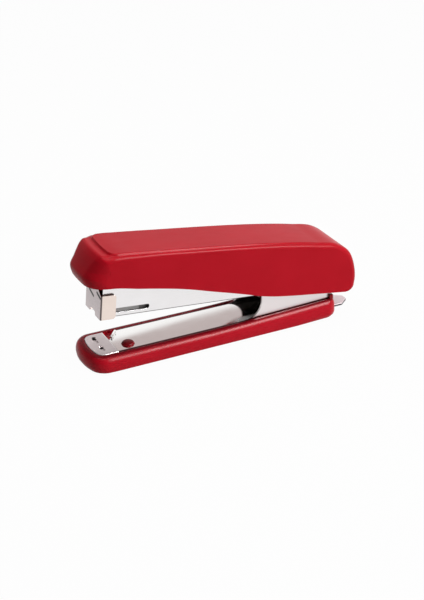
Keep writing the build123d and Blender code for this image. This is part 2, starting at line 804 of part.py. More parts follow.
# Cover: hollow moulding with a bowed leaning nose and two screw bosses under its top
nose_start = -nose_reach - nose_lean.X / nose_lean.Y * nose_foot[1]
nose_sag = nose_bow - (nose_bow**2 - cover_half**2) ** 0.5
nose_rise_dir = cover_side.from_local_coords(nose_lean) - cover_side.origin
with BuildPart() as top_cover:
    with BuildSketch(cover_side):
        add(cover_profile(block_edge, 0))
    extrude(amount=cover_half, both=True)
    with BuildSketch(cover_plan) as nose_plan:
        with BuildLine():
            corner = (nose_start + nose_sag, cover_half)
            ThreePointArc((corner[0], -cover_half), (nose_start, 0), corner)
            Polyline(
                corner,
                (2 * hinge_reach, cover_half),
                (2 * hinge_reach, -cover_half),
                (corner[0], -cover_half),
            )
        make_face()
        fillet(nose_plan.vertices().sort_by(Axis.X)[:2], nose_corner)
    extrude(amount=3 * crown_top, dir=nose_rise_dir, both=True, mode=Mode.INTERSECT)
    crown_edges = top_cover.edges().filter_by(
        lambda e: cover_side.to_local_coords(e.center()).Y > nose_top - 2 * cover_round
        and (abs(abs(e.center().Y) - cover_half) < 1 or e.center().X < hinge_x - crown_reach))
    fillet(crown_edges, cover_round)
    with BuildSketch(cover_side) as above_edge:
        with BuildLine():
            Polyline(
                (tail_reach, 2 * crown_top),
                *lower_edge,
                (-2 * nose_reach, lower_edge[-1][1]),
                (-2 * nose_reach, 2 * crown_top),
                close=True,
            )
        make_face()
        fillet(above_edge.vertices().sort_by_distance((tail_reach, cover_skirt))[0], tail_corner)
    extrude(amount=2 * cover_half, both=True, mode=Mode.INTERSECT)
    with BuildSketch(cover_side):
        add(cover_profile(cavity_edge, cover_wall))
    extrude(amount=cover_half - cover_wall, both=True, mode=Mode.SUBTRACT)
    with BuildSketch(cover_plan.offset(arm_top)):
        with Locations(*[(u, 0) for u in boss_places]):
            Circle(boss_radius)
            Circle(screw_radius + rivet_clear, mode=Mode.SUBTRACT)
    extrude(amount=nose_top + cover_wall / 2 - arm_top)
top_cover.part.label = "top_cover"

# Press arm: folded steel arm under the cover, hung on the hinge pin
driver_face = driver_s - driver_thick / 2
with BuildPart() as press_arm:
    with BuildSketch(cover_side):
        with BuildLine():
            Polyline(
                (0, arm_round),
                (-arm_slope_rear, arm_top),
                (-arm_front, arm_top),
                (-arm_front, arm_top - arm_depth),
                (-arm_slope_front, arm_top - arm_depth),
                (0, -arm_round),
            )
            ThreePointArc((0, -arm_round), (arm_round, 0), (0, arm_round))
        make_face()
        Circle(pin_radius + pin_clear, mode=Mode.SUBTRACT)
    extrude(amount=arm_outer, both=True)
    long_edges = press_arm.edges().filter_by(
        lambda e: abs(abs(e.center().Y) - arm_outer) < 0.01
        and e.length > arm_front / 2
        and cover_side.to_local_coords(e.center()).Y > arm_top - 0.01)
    fillet(long_edges, arm_sheet * 0.75)
    with BuildSketch(cover_plan.offset(web_bottom)):
        Rectangle(3 * hinge_reach, 2 * arm_inner)
    extrude(amount=-4 * arm_top, mode=Mode.SUBTRACT)
    with BuildSketch(cover_plan.offset(web_bottom)):
        with Locations(((driver_face - arm_front) / 2, 0)):
            Rectangle(-driver_face - arm_front, 2 * driver_half)
    extrude(amount=arm_web)
    with BuildSketch(cover_plan.offset(web_bottom)):
        with Locations(*[(u, 0) for u in boss_places]):
            Circle(screw_radius + rivet_clear)
        with Locations(*arm_rivet_places):
            Circle(arm_rivet_radius + rivet_clear)
    extrude(amount=arm_web, mode=Mode.SUBTRACT)
press_arm.part.label = "press_arm"

# Driver: thin blade that pushes one staple out, bent over and riveted under the arm
press_lead = radians(rest_lead - driver_stroke)
tip_w = magazine_bottom + driver_tip_gap
driver_tip = driver_s * sin(press_lead) + tip_w * cos(press_lead)
driver_lip_end = driver_face + driver_lip
with BuildPart() as driver_blade:
    with BuildSketch(cover_side):
        with BuildLine():
            Polyline(
                (driver_face, driver_tip),
                (driver_face + driver_thick, driver_tip),
                (driver_face + driver_thick, web_bottom - driver_thick),
                (driver_lip_end, web_bottom - driver_thick),
                (driver_lip_end, web_bottom),
                (driver_face, web_bottom),
                close=True,
            )
        make_face()
    extrude(amount=driver_half, both=True)
    with BuildSketch(cover_plan.offset(web_bottom)):
        with Locations(*arm_rivet_places[:2]):
            Circle(arm_rivet_radius + rivet_clear)
    extrude(amount=-driver_thick, mode=Mode.SUBTRACT)
driver_blade.part.label = "driver_blade"

# Press spring: leaf under the arm that lifts the cover off the magazine
press_seat = block_top + touch_gap + press_thick
press_points = [
    cover_side.to_local_coords(magazine_side.from_local_coords(Vector(s, w, 0)))
    for s, w in (
        (-press_touch - press_pad / 4, press_seat),
        (-press_touch + press_pad / 4, press_seat),
        (-press_touch + press_pad / 4 + press_curl, press_seat + press_curl),
    )
]
with BuildPart() as press_spring:
    with BuildSketch(cover_side):
        with BuildLine():
            FilletPolyline(
                (-press_root, web_bottom),
                (-press_root + press_pad, web_bottom),
                *[(point.X, point.Y) for point in press_points],
                radius=press_bend,
            )
            offset(amount=press_thick, side=Side.RIGHT)
        make_face()
    extrude(amount=press_width / 2, both=True)
    with BuildSketch(cover_plan.offset(web_bottom)):
        with Locations(arm_rivet_places[2]):
            Circle(arm_rivet_radius + rivet_clear)
    extrude(amount=-2 * press_thick, mode=Mode.SUBTRACT)
press_spring.part.label = "press_spring"

# Rivets that hold the driver and the press spring to the arm
rivet_stacks = (driver_thick, driver_thick, press_thick)
with BuildPart() as arm_rivet_set:
    for place, stack in zip(arm_rivet_places, rivet_stacks):
        with BuildSketch(cover_plan.offset(web_bottom - stack)):
            with Locations(place):
                Circle(arm_rivet_radius)
        extrude(amount=stack + arm_web)
        with BuildSketch(cover_plan.offset(web_bottom - stack)):
            with Locations(place):
                Circle(arm_rivet_head)
        extrude(amount=-arm_rivet_head_thick)
        with BuildSketch(cover_plan.offset(arm_top)):
            with Locations(place):
                Circle(arm_rivet_head)
        extrude(amount=arm_rivet_head_thick)
arm_rivet_set.part.label = "arm_rivets"

# Screws up through the arm into the cover's bosses
with BuildPart() as cover_screw_set:
    with BuildSketch(cover_plan.offset(web_bottom)):
        with Locations(*[(u, 0) for u in boss_places]):
            Circle(screw_radius)
    extrude(amount=screw_length)
    with BuildSketch(cover_plan.offset(web_bottom)):
        with Locations(*[(u, 0) for u in boss_places]):
            Circle(screw_head)
    extrude(amount=-screw_head_thick)
cover_screw_set.part.label = "cover_screws"

pieces = (
    base_shell, sole_pad, base_plate, anvil_plate, remover_blade, tail_rivet_set, lift_spring, hinge_pin,
    magazine_channel, head_plate, staple_rail, rail_block, block_rivet, spring_rod, hinge_bush,
    pusher, pusher_spring, top_cover, press_arm, driver_blade, press_spring, arm_rivet_set, cover_screw_set,
)
os.makedirs("parts", exist_ok=True)
for piece in pieces:
    export_step(piece.part, "parts/" + piece.part.label + ".step")

print("hinge", round(hinge_x, 3), hinge_z, "closes by", round(close_angle, 3), "degrees")
print("staple lands at", round(landing_x, 3), round(landing_z, 3), "anvil top", anvil_top)
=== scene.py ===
import math
import bpy
import bmesh
import numpy as np
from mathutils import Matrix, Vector


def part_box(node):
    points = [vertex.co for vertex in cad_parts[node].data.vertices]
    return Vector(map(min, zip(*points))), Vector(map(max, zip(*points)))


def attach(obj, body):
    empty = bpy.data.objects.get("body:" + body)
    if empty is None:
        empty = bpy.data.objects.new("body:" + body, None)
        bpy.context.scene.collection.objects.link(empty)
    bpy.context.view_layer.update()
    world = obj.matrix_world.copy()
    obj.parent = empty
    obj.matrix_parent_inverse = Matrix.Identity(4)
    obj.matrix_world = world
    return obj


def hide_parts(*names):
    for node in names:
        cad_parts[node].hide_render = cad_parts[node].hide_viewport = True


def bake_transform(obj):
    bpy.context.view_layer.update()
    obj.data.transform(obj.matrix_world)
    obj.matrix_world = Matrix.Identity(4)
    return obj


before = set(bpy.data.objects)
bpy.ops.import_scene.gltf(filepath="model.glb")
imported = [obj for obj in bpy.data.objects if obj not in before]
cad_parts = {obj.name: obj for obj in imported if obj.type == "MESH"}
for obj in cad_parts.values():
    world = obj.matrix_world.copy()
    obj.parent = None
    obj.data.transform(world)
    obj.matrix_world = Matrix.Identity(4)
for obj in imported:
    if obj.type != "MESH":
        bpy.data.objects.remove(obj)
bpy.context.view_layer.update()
mm = 0.001
scene = bpy.context.scene
print("frame loaded:", len(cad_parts), "nodes")

# view fitted to the photograph: degrees, millimetres and photo pixels; clipping in metres
cameraView = {"azimuth": 26.861, "elevation": 27.261, "target": (1.497, 0.0, 16.837), "distance": 606.0,
              "focalPixels": 1317.0, "imageHeight": 600, "sensor": 36.0, "clip": (0.01, 20.0)}
# hinge pin in millimetres, and how far the photograph shows cover and magazine raised, in degrees
hinge = {"x": 55.4, "z": 18.0, "coverTilt": 9.0, "magazineTilt": 4.9}


def makeCamera(v):
    a, e = math.radians(v["azimuth"]), math.radians(v["elevation"])
    look = Vector((math.sin(a) * math.cos(e), math.cos(a) * math.cos(e), -math.sin(e)))
    data = bpy.data.cameras.new("photoCamera")
    data.sensor_width = v["sensor"]
    data.lens = v["focalPixels"] / v["imageHeight"] * v["sensor"]
    data.clip_start, data.clip_end = v["clip"]
    cam = bpy.data.objects.new("photoCamera", data)
    cam.location = (Vector(v["target"]) - v["distance"] * look) * mm
    cam.rotation_euler = look.to_track_quat("-Z", "Y").to_euler()
    scene.collection.objects.link(cam)
    scene.camera = cam
    scene.view_settings.view_transform = "Standard"


makeCamera(cameraView)

# soft studio, in metres and watts: the key on the near right only lights, the gloss lamp above it is only mirrored,
# and the broad sheet overhead does both; each row gives name, place, size, power, and (lights, is mirrored)
studio = {"ambient": 0.085, "aim": (0.0, 0.0, 0.025), "leftShade": 0.4, "leftFrom": (-0.5, 0.1), "nearShade": 0.68,
          "nearFrom": (-0.6, -0.1), "ceiling": (0.53, 0.455, 0.45, 1.0), "ceilingFrom": (24.8, 27.3),
          "floorColour": (0.55, 0.55, 0.55, 1.0), "floorRough": 0.9, "floorSeen": 0.97, "floorMirrored": 0.87,
          "floorLeftFrom": (-0.115, -0.045), "floorRadius": 3.0, "floorDrop": 0.00005, "floorSides": 96,
          "lamps": [("key", (0.50, -0.68, 0.39), 0.34, 6.6, (True, False)),
                    ("gloss", (0.455, -0.575, 0.59), 0.50, 18.0, (False, True)),
                    ("sheet", (0.06, 0.06, 0.85), 0.8, 5.5, (True, True))]}
white = (1.0, 1.0, 1.0, 1.0)


# node helpers: a value is a number, a colour or another node's output
def linkNodes(tree, *pairs):
    for a, b in pairs:
        tree.links.new(a, b)


def setOrLink(tree, value, socket):
    if isinstance(value, (int, float, tuple)):
        socket.default_value = value
    else:
        tree.links.new(value, socket)


def addRange(tree, value, low, high, outLow, outHigh, soft=False):
    node = tree.nodes.new("ShaderNodeMapRange")
    node.interpolation_type = "SMOOTHSTEP" if soft else "LINEAR"
    labels = ("Value", "From Min", "From Max", "To Min", "To Max")
    for label, given in zip(labels, (value, low, high, outLow, outHigh)):
        setOrLink(tree, given, node.inputs[label])
    return node.outputs["Result"]


def rises(tree, value, span, soft=False):
    return addRange(tree, value, *span, 0.0, 1.0, soft)


def falls(tree, value, span, soft=False):
    return addRange(tree, value, *span, 1.0, 0.0, soft)


def addMix(tree, factor, a, b, blend="MIX"):
    node = tree.nodes.new("ShaderNodeMix")
    node.data_type, node.blend_type = "RGBA", blend
    for value, label in ((factor, 0), (a, 6), (b, 7)):  # factor and the two colours
        setOrLink(tree, value, node.inputs[label])
    return node.outputs[2]


def addMath(tree, operation, a, b=0.0):
    node = tree.nodes.new("ShaderNodeMath")
    node.operation = operation
    setOrLink(tree, a, node.inputs[0])
    setOrLink(tree, b, node.inputs[1])
    return node.outputs[0]


def times(tree, a, b):
    return addMath(tree, "MULTIPLY", a, b)


def weighted(tree, a, b, shares):
    return addMath(tree, "ADD", times(tree, a, shares[0]), times(tree, b, shares[1]))


def placeParts(tree, kind="Object"):
    place, parts = tree.nodes.new("ShaderNodeTexCoord"), tree.nodes.new("ShaderNodeSeparateXYZ")
    tree.links.new(place.outputs[kind], parts.inputs[0])
    return parts.outputs


def seenPart(tree, seen, mirrored):
    # share of the white background: one value for camera rays, one for glossy and transmission rays, else nothing
    rays = tree.nodes.new("ShaderNodeLightPath").outputs
    either = addMath(tree, "MAXIMUM", rays["Is Glossy Ray"], rays["Is Transmission Ray"])
    return weighted(tree, rays["Is Camera Ray"], either, (seen, mirrored)), rays["Is Camera Ray"]


def mixShaders(tree, share, first, second, out):
    mix = tree.nodes.new("ShaderNodeMixShader")
    linkNodes(tree, (share, mix.inputs[0]), (first.outputs[0], mix.inputs[1]), (second.outputs[0], mix.inputs[2]),
              (mix.outputs[0], out.inputs["Surface"]))


def makeWorld(s):
    # backdrop white up to a warm grey ceiling, shaded off to the left and the near side; the camera sees plain white
    world = bpy.data.worlds.new("studio")
    scene.world = world
    world.use_nodes = True
    tree = world.node_tree
    out, dim = tree.nodes["World Output"], tree.nodes["Background"]
    dim.inputs["Color"].default_value = white
    dim.inputs["Strength"].default_value = s["ambient"]
    bright = tree.nodes.new("ShaderNodeBackground")
    at = placeParts(tree, "Generated")
    ceilingFrom = [math.sin(math.radians(a)) for a in s["ceilingFrom"]]
    room = addMix(tree, rises(tree, at["Z"], ceilingFrom, True), white, s["ceiling"])
    left = addRange(tree, at["X"], *s["leftFrom"], s["leftShade"], 1.0, True)
    near = addRange(tree, at["Y"], *s["nearFrom"], s["nearShade"], 1.0, True)
    room = addMix(tree, 1.0, room, times(tree, left, near), "MULTIPLY")
    share, direct = seenPart(tree, 1.0, 1.0)
    tree.links.new(addMix(tree, direct, room, white), bright.inputs["Color"])
    mixShaders(tree, share, dim, bright, out)


def makeLamps(s):
    for name, place, size, power, use in s["lamps"]:
        data = bpy.data.lights.new(name, "AREA")
        data.shape, data.size, data.energy = "DISK", size, power
        lamp = bpy.data.objects.new(name, data)
        lamp.location = place
        lamp.visible_diffuse, lamp.visible_glossy = use
        lamp.rotation_euler = (Vector(s["aim"]) - Vector(place)).to_track_quat("-Z", "Y").to_euler()
        scene.collection.objects.link(lamp)


def roundAngles(count):
    # angles spread evenly once round, without the last
    return np.linspace(0, 2 * np.pi, count, endpoint=False)


def makeFloor(s):
    # round sheet just under the sole: seen almost white with a faint shadow, mirrored darker towards the left
    angle = roundAngles(s["floorSides"])
    rim = np.stack([s["floorRadius"] * np.cos(angle), s["floorRadius"] * np.sin(angle), 0 * angle - s["floorDrop"]], 1)
    mesh = bpy.data.meshes.new("floor")
    mesh.from_pydata(rim.tolist(), [], [list(range(len(rim)))])
    floor = bpy.data.objects.new("floor", mesh)
    scene.collection.objects.link(floor)
    paper = bpy.data.materials.new("paleFloor")
    paper.use_nodes = True
    tree = paper.node_tree
    out, shade = tree.nodes["Material Output"], tree.nodes["Principled BSDF"]
    shade.inputs["Base Color"].default_value = s["floorColour"]
    shade.inputs["Roughness"].default_value = s["floorRough"]
    shade.inputs["Specular IOR Level"].default_value = 0.0
    bright = s["floorMirrored"]
    left = addRange(tree, placeParts(tree)["X"], *s["floorLeftFrom"], bright * s["leftShade"], bright, True)
    mixShaders(tree, seenPart(tree, s["floorSeen"], left)[0], shade, tree.nodes.new("ShaderNodeEmission"), out)
    mesh.materials.append(paper)


makeWorld(studio)
makeLamps(studio)
makeFloor(studio)
print("camera and studio ready")


# shader groups: each gives values that change over the surface
def newGroup(name, inputs, outputs):
    group = bpy.data.node_groups.new(name, "ShaderNodeTree")
    for label, kind, value in inputs:
        socket = group.interface.new_socket(label, in_out="INPUT", socket_type=kind)
        socket.default_value = value
    for label, kind in outputs:
        group.interface.new_socket(label, in_out="OUTPUT", socket_type=kind)
    return group, group.nodes.new("NodeGroupInput").outputs, group.nodes.new("NodeGroupOutput").inputs


def addNoise(tree, vector, scale, detail, rough):
    node = tree.nodes.new("ShaderNodeTexNoise")
    tree.links.new(vector, node.inputs["Vector"])
    for label, value in (("Scale", scale), ("Detail", detail), ("Roughness", rough)):
        setOrLink(tree, value, node.inputs[label])
    return node.outputs["Fac"]


def stretched(tree, scale=(1, 1, 1)):
    place, mapping = tree.nodes.new("ShaderNodeTexCoord"), tree.nodes.new("ShaderNodeMapping")
    mapping.inputs["Scale"].default_value = scale
    tree.links.new(place.outputs["Object"], mapping.inputs["Vector"])
    return mapping.outputs["Vector"]


colourKind, numberKind = "NodeSocketColor", "NodeSocketFloat"
surfaceOutputs = [("Colour", colourKind), ("Roughness", numberKind), ("Height", numberKind)]
# each noise: scale, detail and roughness; the grain's scale is an input of the group
mouldedLook = {"cloud": (55.0, 4, 0.5), "tintRange": (0.32, 0.72), "grain": (3, 0.6), "rub": (320.0, 5, 0.65),
               "rubStretch": (0.35, 1, 1), "toneShares": (0.6, 0.4), "roughRange": (0.3, 0.7)}
rolledLook = {"streak": (4200.0, 3, 0.55), "streakStretch": (0.03, 1, 1), "smudge": (120.0, 5, 0.6),
              "pit": (1900.0, 2, 0.5), "toneShares": (0.45, 0.55), "tintRange": (0.35, 0.65), "roughRange": (0.3, 0.7),
              "heightShares": (0.7, 0.3)}


def makeMouldedGroup(look):
    # moulding: faint cloudiness in the colour, fine spark-erosion grain in roughness and height
    inputs = [("Colour", colourKind, (1, 0, 0, 1)), ("Shade", colourKind, (0.5, 0, 0, 1)),
              ("Rough Low", numberKind, 0.2), ("Rough High", numberKind, 0.3), ("Grain", numberKind, 2600.0)]
    group, given, put = newGroup("mouldedFinish", inputs, surfaceOutputs)
    vector = stretched(group)
    tint = rises(group, addNoise(group, vector, *look["cloud"]), look["tintRange"])
    grain = addNoise(group, vector, given["Grain"], *look["grain"])
    rub = addNoise(group, stretched(group, look["rubStretch"]), *look["rub"])
    tone = weighted(group, rub, grain, look["toneShares"])
    rough = addRange(group, tone, *look["roughRange"], given["Rough Low"], given["Rough High"])
    linkNodes(group, (addMix(group, tint, given["Shade"], given["Colour"]), put["Colour"]),
              (rough, put["Roughness"]), (grain, put["Height"]))
    return group


def makeRolledGroup(look):
    # rolled sheet: long fine streaks along X, broad handling smudges, sparse pits
    inputs = [("Colour", colourKind, (0.8, 0.8, 0.8, 1)), ("Shade", colourKind, (0.7, 0.7, 0.7, 1)),
              ("Rough Low", numberKind, 0.1), ("Rough High", numberKind, 0.2)]
    group, given, put = newGroup("rolledMetal", inputs, surfaceOutputs)
    vector = stretched(group)
    streak = addNoise(group, stretched(group, look["streakStretch"]), *look["streak"])
    smudge, pit = addNoise(group, vector, *look["smudge"]), addNoise(group, vector, *look["pit"])
    tone = weighted(group, streak, smudge, look["toneShares"])
    tint = rises(group, tone, look["tintRange"])
    rough = addRange(group, tone, *look["roughRange"], given["Rough Low"], given["Rough High"])
    linkNodes(group, (addMix(group, tint, given["Shade"], given["Colour"]), put["Colour"]), (rough, put["Roughness"]),
              (weighted(group, streak, pit, look["heightShares"]), put["Height"]))
    return group


finishGroups = {"moulded": makeMouldedGroup(mouldedLook), "rolled": makeRolledGroup(rolledLook)}

# one row for each finish: group, colour, shade, roughness from and to, bump depth in mm, metal, specular level
finishes = {
    "coverRed": ("moulded", (0.45, 0.005, 0.0145), (0.415, 0.004, 0.012), 0.29, 0.37, 0.003, 0, 0.08),
    "baseRed": ("moulded", (0.475, 0.0055, 0.017), (0.44, 0.0045, 0.014), 0.24, 0.32, 0.0012, 0, 0.11),
    # painted shade: a darker copy of the base's red, for the stud and the collar
    "shadedBaseRed": ("moulded", (0.225, 0.004, 0.009), (0.175, 0.003, 0.007), 0.3, 0.4, 0.003, 0, 0.1),
    "soleRubber": ("moulded", (0.03, 0.03, 0.031), (0.022, 0.022, 0.023), 0.7, 0.85, 0.02, 0, 0.3),
    "pusherPlastic": ("moulded", (0.3, 0.292, 0.288), (0.26, 0.253, 0.249), 0.45, 0.55, 0.004, 0, 0.3),
    "brightPlate": ("rolled", (0.96, 0.955, 0.94), (0.92, 0.91, 0.895), 0.06, 0.12, 0.001, 1, 0.5),
    "satinAnvil": ("rolled", (0.8, 0.75, 0.755), (0.66, 0.61, 0.615), 0.3, 0.42, 0.004, 1, 0.5),
    "sheetSteel": ("rolled", (0.88, 0.865, 0.868), (0.82, 0.805, 0.808), 0.16, 0.26, 0.0008, 1, 0.5),
    "channelSteel": ("rolled", (0.895, 0.878, 0.882), (0.845, 0.828, 0.832), 0.16, 0.26, 0.0008, 1, 0.5),
    "headSteel": ("rolled", (0.88, 0.76, 0.69), (0.83, 0.71, 0.64), 0.2, 0.3, 0.0008, 1, 0.5),
    "bladeSteel": ("rolled", (0.92, 0.81, 0.835), (0.84, 0.73, 0.755), 0.25, 0.38, 0.001, 1, 0.5),
    "plainSteel": ("rolled", (0.62, 0.61, 0.6), (0.52, 0.51, 0.5), 0.22, 0.34, 0.001, 1, 0.5),
    "railSteel": ("rolled", (0.19, 0.184, 0.181), (0.16, 0.155, 0.152), 0.45, 0.6, 0.002, 1, 0.5),
    "springSteel": ("rolled", (0.48, 0.47, 0.46), (0.4, 0.39, 0.38), 0.2, 0.32, 0.0008, 1, 0.5),
}


def tiltedPlace(tree, tilt):
    # X along, Y across and Z square to a tilted piece, in millimetres from the hinge, from the Object coordinates
    c, s = math.cos(math.radians(tilt)), math.sin(math.radians(tilt))
    place, mapping = tree.nodes.new("ShaderNodeTexCoord"), tree.nodes.new("ShaderNodeMapping")
    mapping.inputs["Scale"].default_value = (1 / mm, 1 / mm, 1 / mm)
    mapping.inputs["Rotation"].default_value = (0, -math.radians(tilt), 0)
    mapping.inputs["Location"].default_value = (hinge["z"] * s - hinge["x"] * c, 0, -hinge["x"] * s - hinge["z"] * c)
    parts = tree.nodes.new("ShaderNodeSeparateXYZ")
    linkNodes(tree, (place.outputs["Object"], mapping.inputs["Vector"]), (mapping.outputs["Vector"], parts.inputs[0]))
    return parts.outputs


# the rim of the base climbs towards the hinge: by so much over this stretch
rimClimb = {"along": (-53.4, 2.6), "by": 1.6}


def makeRimGroup(c):
    # soft step from one value to another between two heights, which climb with the rim
    labels = ("Low", "High", "At Low", "At High")
    group, given, put = newGroup("rimShade", [(label, numberKind, 0.0) for label in labels], [("Mask", numberKind)])
    at = tiltedPlace(group, 0.0)
    level = addMath(group, "SUBTRACT", at["Z"], addRange(group, at["X"], *c["along"], 0.0, c["by"]))
    linkNodes(group, (addRange(group, level, *(given[label] for label in labels), True), put["Mask"]))
    return group


rimGroup = makeRimGroup(rimClimb)


def rimShade(tree, low, high, atLow, atHigh):
    node = tree.nodes.new("ShaderNodeGroup")
    node.node_tree = rimGroup
    for label, value in (("Low", low), ("High", high), ("At Low", atLow), ("At High", atHigh)):
        node.inputs[label].default_value = value
    return node.outputs["Mask"]


def strokeMask(tree, at, start, end, half, soft):
    # one within half a width of the line from start to end, from the nearest place on that line
    point = tree.nodes.new("ShaderNodeCombineXYZ")
    offset, along, step, left = (tree.nodes.new("ShaderNodeVectorMath") for _ in range(4))
    d = (end[0] - start[0], end[1] - start[1], 0.0)
    square = d[0] ** 2 + d[1] ** 2
    offset.operation, along.operation, step.operation, left.operation = "SUBTRACT", "DOT_PRODUCT", "SCALE", "DISTANCE"
    offset.inputs[1].default_value = (*start, 0.0)
    along.inputs[1].default_value = (d[0] / square, d[1] / square, 0.0)
    step.inputs[0].default_value = d
    part = rises(tree, along.outputs["Value"], (0.0, 1.0))
    linkNodes(tree, (at["Y"], point.inputs[0]), (at["Z"], point.inputs[1]), (point.outputs[0], offset.inputs[0]),
              (offset.outputs[0], along.inputs[0]), (offset.outputs[0], left.inputs[0]), (part, step.inputs["Scale"]),
              (step.outputs[0], left.inputs[1]))
    return falls(tree, left.outputs["Value"], (half - soft, half + soft))


# most of these marks are painted shade or painted highlight, as each says below
# marks painted on a finish at set places: ranges in millimetres from the hinge, along, across and square to the piece
# painted shade on the channel: cut edges and lower fold darkened
channelMark = {"edge": ((6.72, 6.78), (7.44, 7.49)), "fold": (-2.66, -2.5), "dark": (0.10, 0.095, 0.095, 1.0)}


def channelMarks(tree, colour, rough, m):
    # painted shade: the cut edges inside the thickness of the sheet, and a line along the lower fold, painted dark
    at = tiltedPlace(tree, hinge["magazineTilt"])
    wide = addMath(tree, "ABSOLUTE", at["Y"])
    edge = times(tree, rises(tree, wide, m["edge"][0]), falls(tree, wide, m["edge"][1]))
    fold = falls(tree, at["Z"], m["fold"])
    return addMix(tree, addMath(tree, "MAXIMUM", edge, fold), colour, m["dark"]), rough


# painted shade on the head: darker front, dark folds, black cut edges and black slits for shadowed gaps
# each painted slit: start and end as (across, square), and half its width
headMark = {"front": (-112.75, -112.45), "middle": (7.9, 8.4), "dull": (0.66, 0.585, 0.59, 1.0),
            "foldAlong": (-112.5, -112.1), "foldAcross": (8.05, 8.35), "dark": (0.12, 0.095, 0.095, 1.0),
            "cutAlong": (-112.8, -112.7), "cutUp": (8.25, 8.4), "black": (0.012, 0.010, 0.010, 1.0), "slotSoft": 0.15,
            "slots": [((4.4, 6.4), (-0.2, 5.0), 0.6), ((-4.0, 8.1), (-7.6, 7.0), 0.65)]}


def headMarks(tree, colour, rough, m):
    # painted shade: a darker front, a dark line down each fold, black cut edges and two black slits painted in the
    # front
    at = tiltedPlace(tree, hinge["magazineTilt"])
    wide = addMath(tree, "ABSOLUTE", at["Y"])
    front = falls(tree, at["X"], m["front"])
    middle = times(tree, front, falls(tree, wide, m["middle"]))
    fold = times(tree, falls(tree, at["X"], m["foldAlong"]), rises(tree, wide, m["foldAcross"]))
    cut = times(tree, rises(tree, at["X"], m["cutAlong"]), rises(tree, at["Z"], m["cutUp"]))
    slots = addMath(tree, "MAXIMUM", *(strokeMask(tree, at, *slot, m["slotSoft"]) for slot in m["slots"]))
    colour = addMix(tree, middle, colour, m["dull"])
    colour = addMix(tree, fold, colour, m["dark"])
    return addMix(tree, addMath(tree, "MAXIMUM", cut, times(tree, slots, front)), colour, m["black"]), rough


# the anvil's places are world millimetres
# painted shadow colour for the groove ends and painted highlight colour for the back edge
anvilMark = {"ends": [(-54.9, 6.5, 0.0), (-55.2, -2.9, 0.0)], "endRadius": (0.75, 1.05), "backRough": 0.12,
             "black": (0.012, 0.010, 0.010, 1.0), "back": (-49.85, -49.75), "bright": (0.98, 0.97, 0.96, 1.0)}


def anvilMarks(tree, colour, rough, m):
    # painted shadow in the deep end of each clinching groove, and a painted highlight along the back edge, which is
    # also made smoother
    flat = stretched(tree, (1 / mm, 1 / mm, 0))
    for end in m["ends"]:
        away = tree.nodes.new("ShaderNodeVectorMath")
        away.operation = "DISTANCE"
        away.inputs[1].default_value = end
        tree.links.new(flat, away.inputs[0])
        colour = addMix(tree, falls(tree, away.outputs["Value"], m["endRadius"]), colour, m["black"])
    parts = tree.nodes.new("ShaderNodeSeparateXYZ")
    tree.links.new(flat, parts.inputs[0])
    back = rises(tree, parts.outputs["X"], m["back"])
    return addMix(tree, back, colour, m["bright"]), addRange(tree, back, 0.0, 1.0, rough, m["backRough"])


bladeMark = {"face": round(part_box("remover_blade")[1][2] / mm - hinge["z"], 3), "under": (0.3, 0.15),
             "dark": (0.16, 0.145, 0.15, 1.0)}


def bladeMarks(tree, colour, rough, m):
    # darker sheared edge under the upper face
    edge = falls(tree, tiltedPlace(tree, 0.0)["Z"], [m["face"] - depth for depth in m["under"]])
    return addMix(tree, edge, colour, m["dark"]), rough


# painted shade: greyer ears and a dark foot where the rim meets them
plateMark = {"ear": (8.85, 8.95), "earGrey": (0.80, 0.745, 0.745, 1.0), "earRough": 0.30, "foot": (-10.2, -9.5),
             "footDark": (0.10, 0.02, 0.025, 1.0), "rubAlong": (-50, -38), "rubAcross": (-6.5, -4), "rubRough": 0.45}


def plateMarks(tree, colour, rough, m):
    # ears painted greyer as shade and made duller, a painted shadow at their foot behind the rim, and a rubbed place
    # before the near one
    at = tiltedPlace(tree, 0.0)
    ear = rises(tree, addMath(tree, "ABSOLUTE", at["Y"]), m["ear"])
    foot = times(tree, ear, rimShade(tree, *m["foot"], 1.0, 0.0))
    colour = addMix(tree, foot, addMix(tree, ear, colour, m["earGrey"]), m["footDark"])
    rubbed = times(tree, rises(tree, at["X"], m["rubAlong"], True), falls(tree, at["Y"], m["rubAcross"], True))
    rough = addRange(tree, rubbed, 0.0, 1.0, rough, m["rubRough"])
    return colour, addRange(tree, ear, 0.0, 1.0, rough, m["earRough"])


# painted shade on the base's rim near the tray
baseMark = {"rim": (-11.3, -10.4), "most": 0.7, "dark": (0.10, 0.002, 0.006, 1.0)}


def baseMarks(tree, colour, rough, m):
    # painted shade: the rim darkens towards the tray
    return addMix(tree, rimShade(tree, *m["rim"], 0.0, m["most"]), colour, m["dark"]), rough


marks = {"channelSteel": (channelMarks, channelMark), "headSteel": (headMarks, headMark),
         "satinAnvil": (anvilMarks, anvilMark), "bladeSteel": (bladeMarks, bladeMark),
         "brightPlate": (plateMarks, plateMark), "baseRed": (baseMarks, baseMark)}
crowned = {"brightPlate": {"radius": 0.20, "askew": 0.105, "start": -0.0025}}  # metres


def crownHeight(tree, c):
    # floor plate very slightly crowned: t runs across from a line askew to the middle, and the height falls with the
    # square of t, or evenly where t is below the start of the crown
    at = placeParts(tree)
    t = addMath(tree, "SUBTRACT", at["Y"], times(tree, at["X"], c["askew"]))
    held = addMath(tree, "MAXIMUM", t, c["start"])
    fall = times(tree, held, addMath(tree, "SUBTRACT", t, times(tree, held, 0.5)))
    return times(tree, fall, -1.0 / c["radius"])


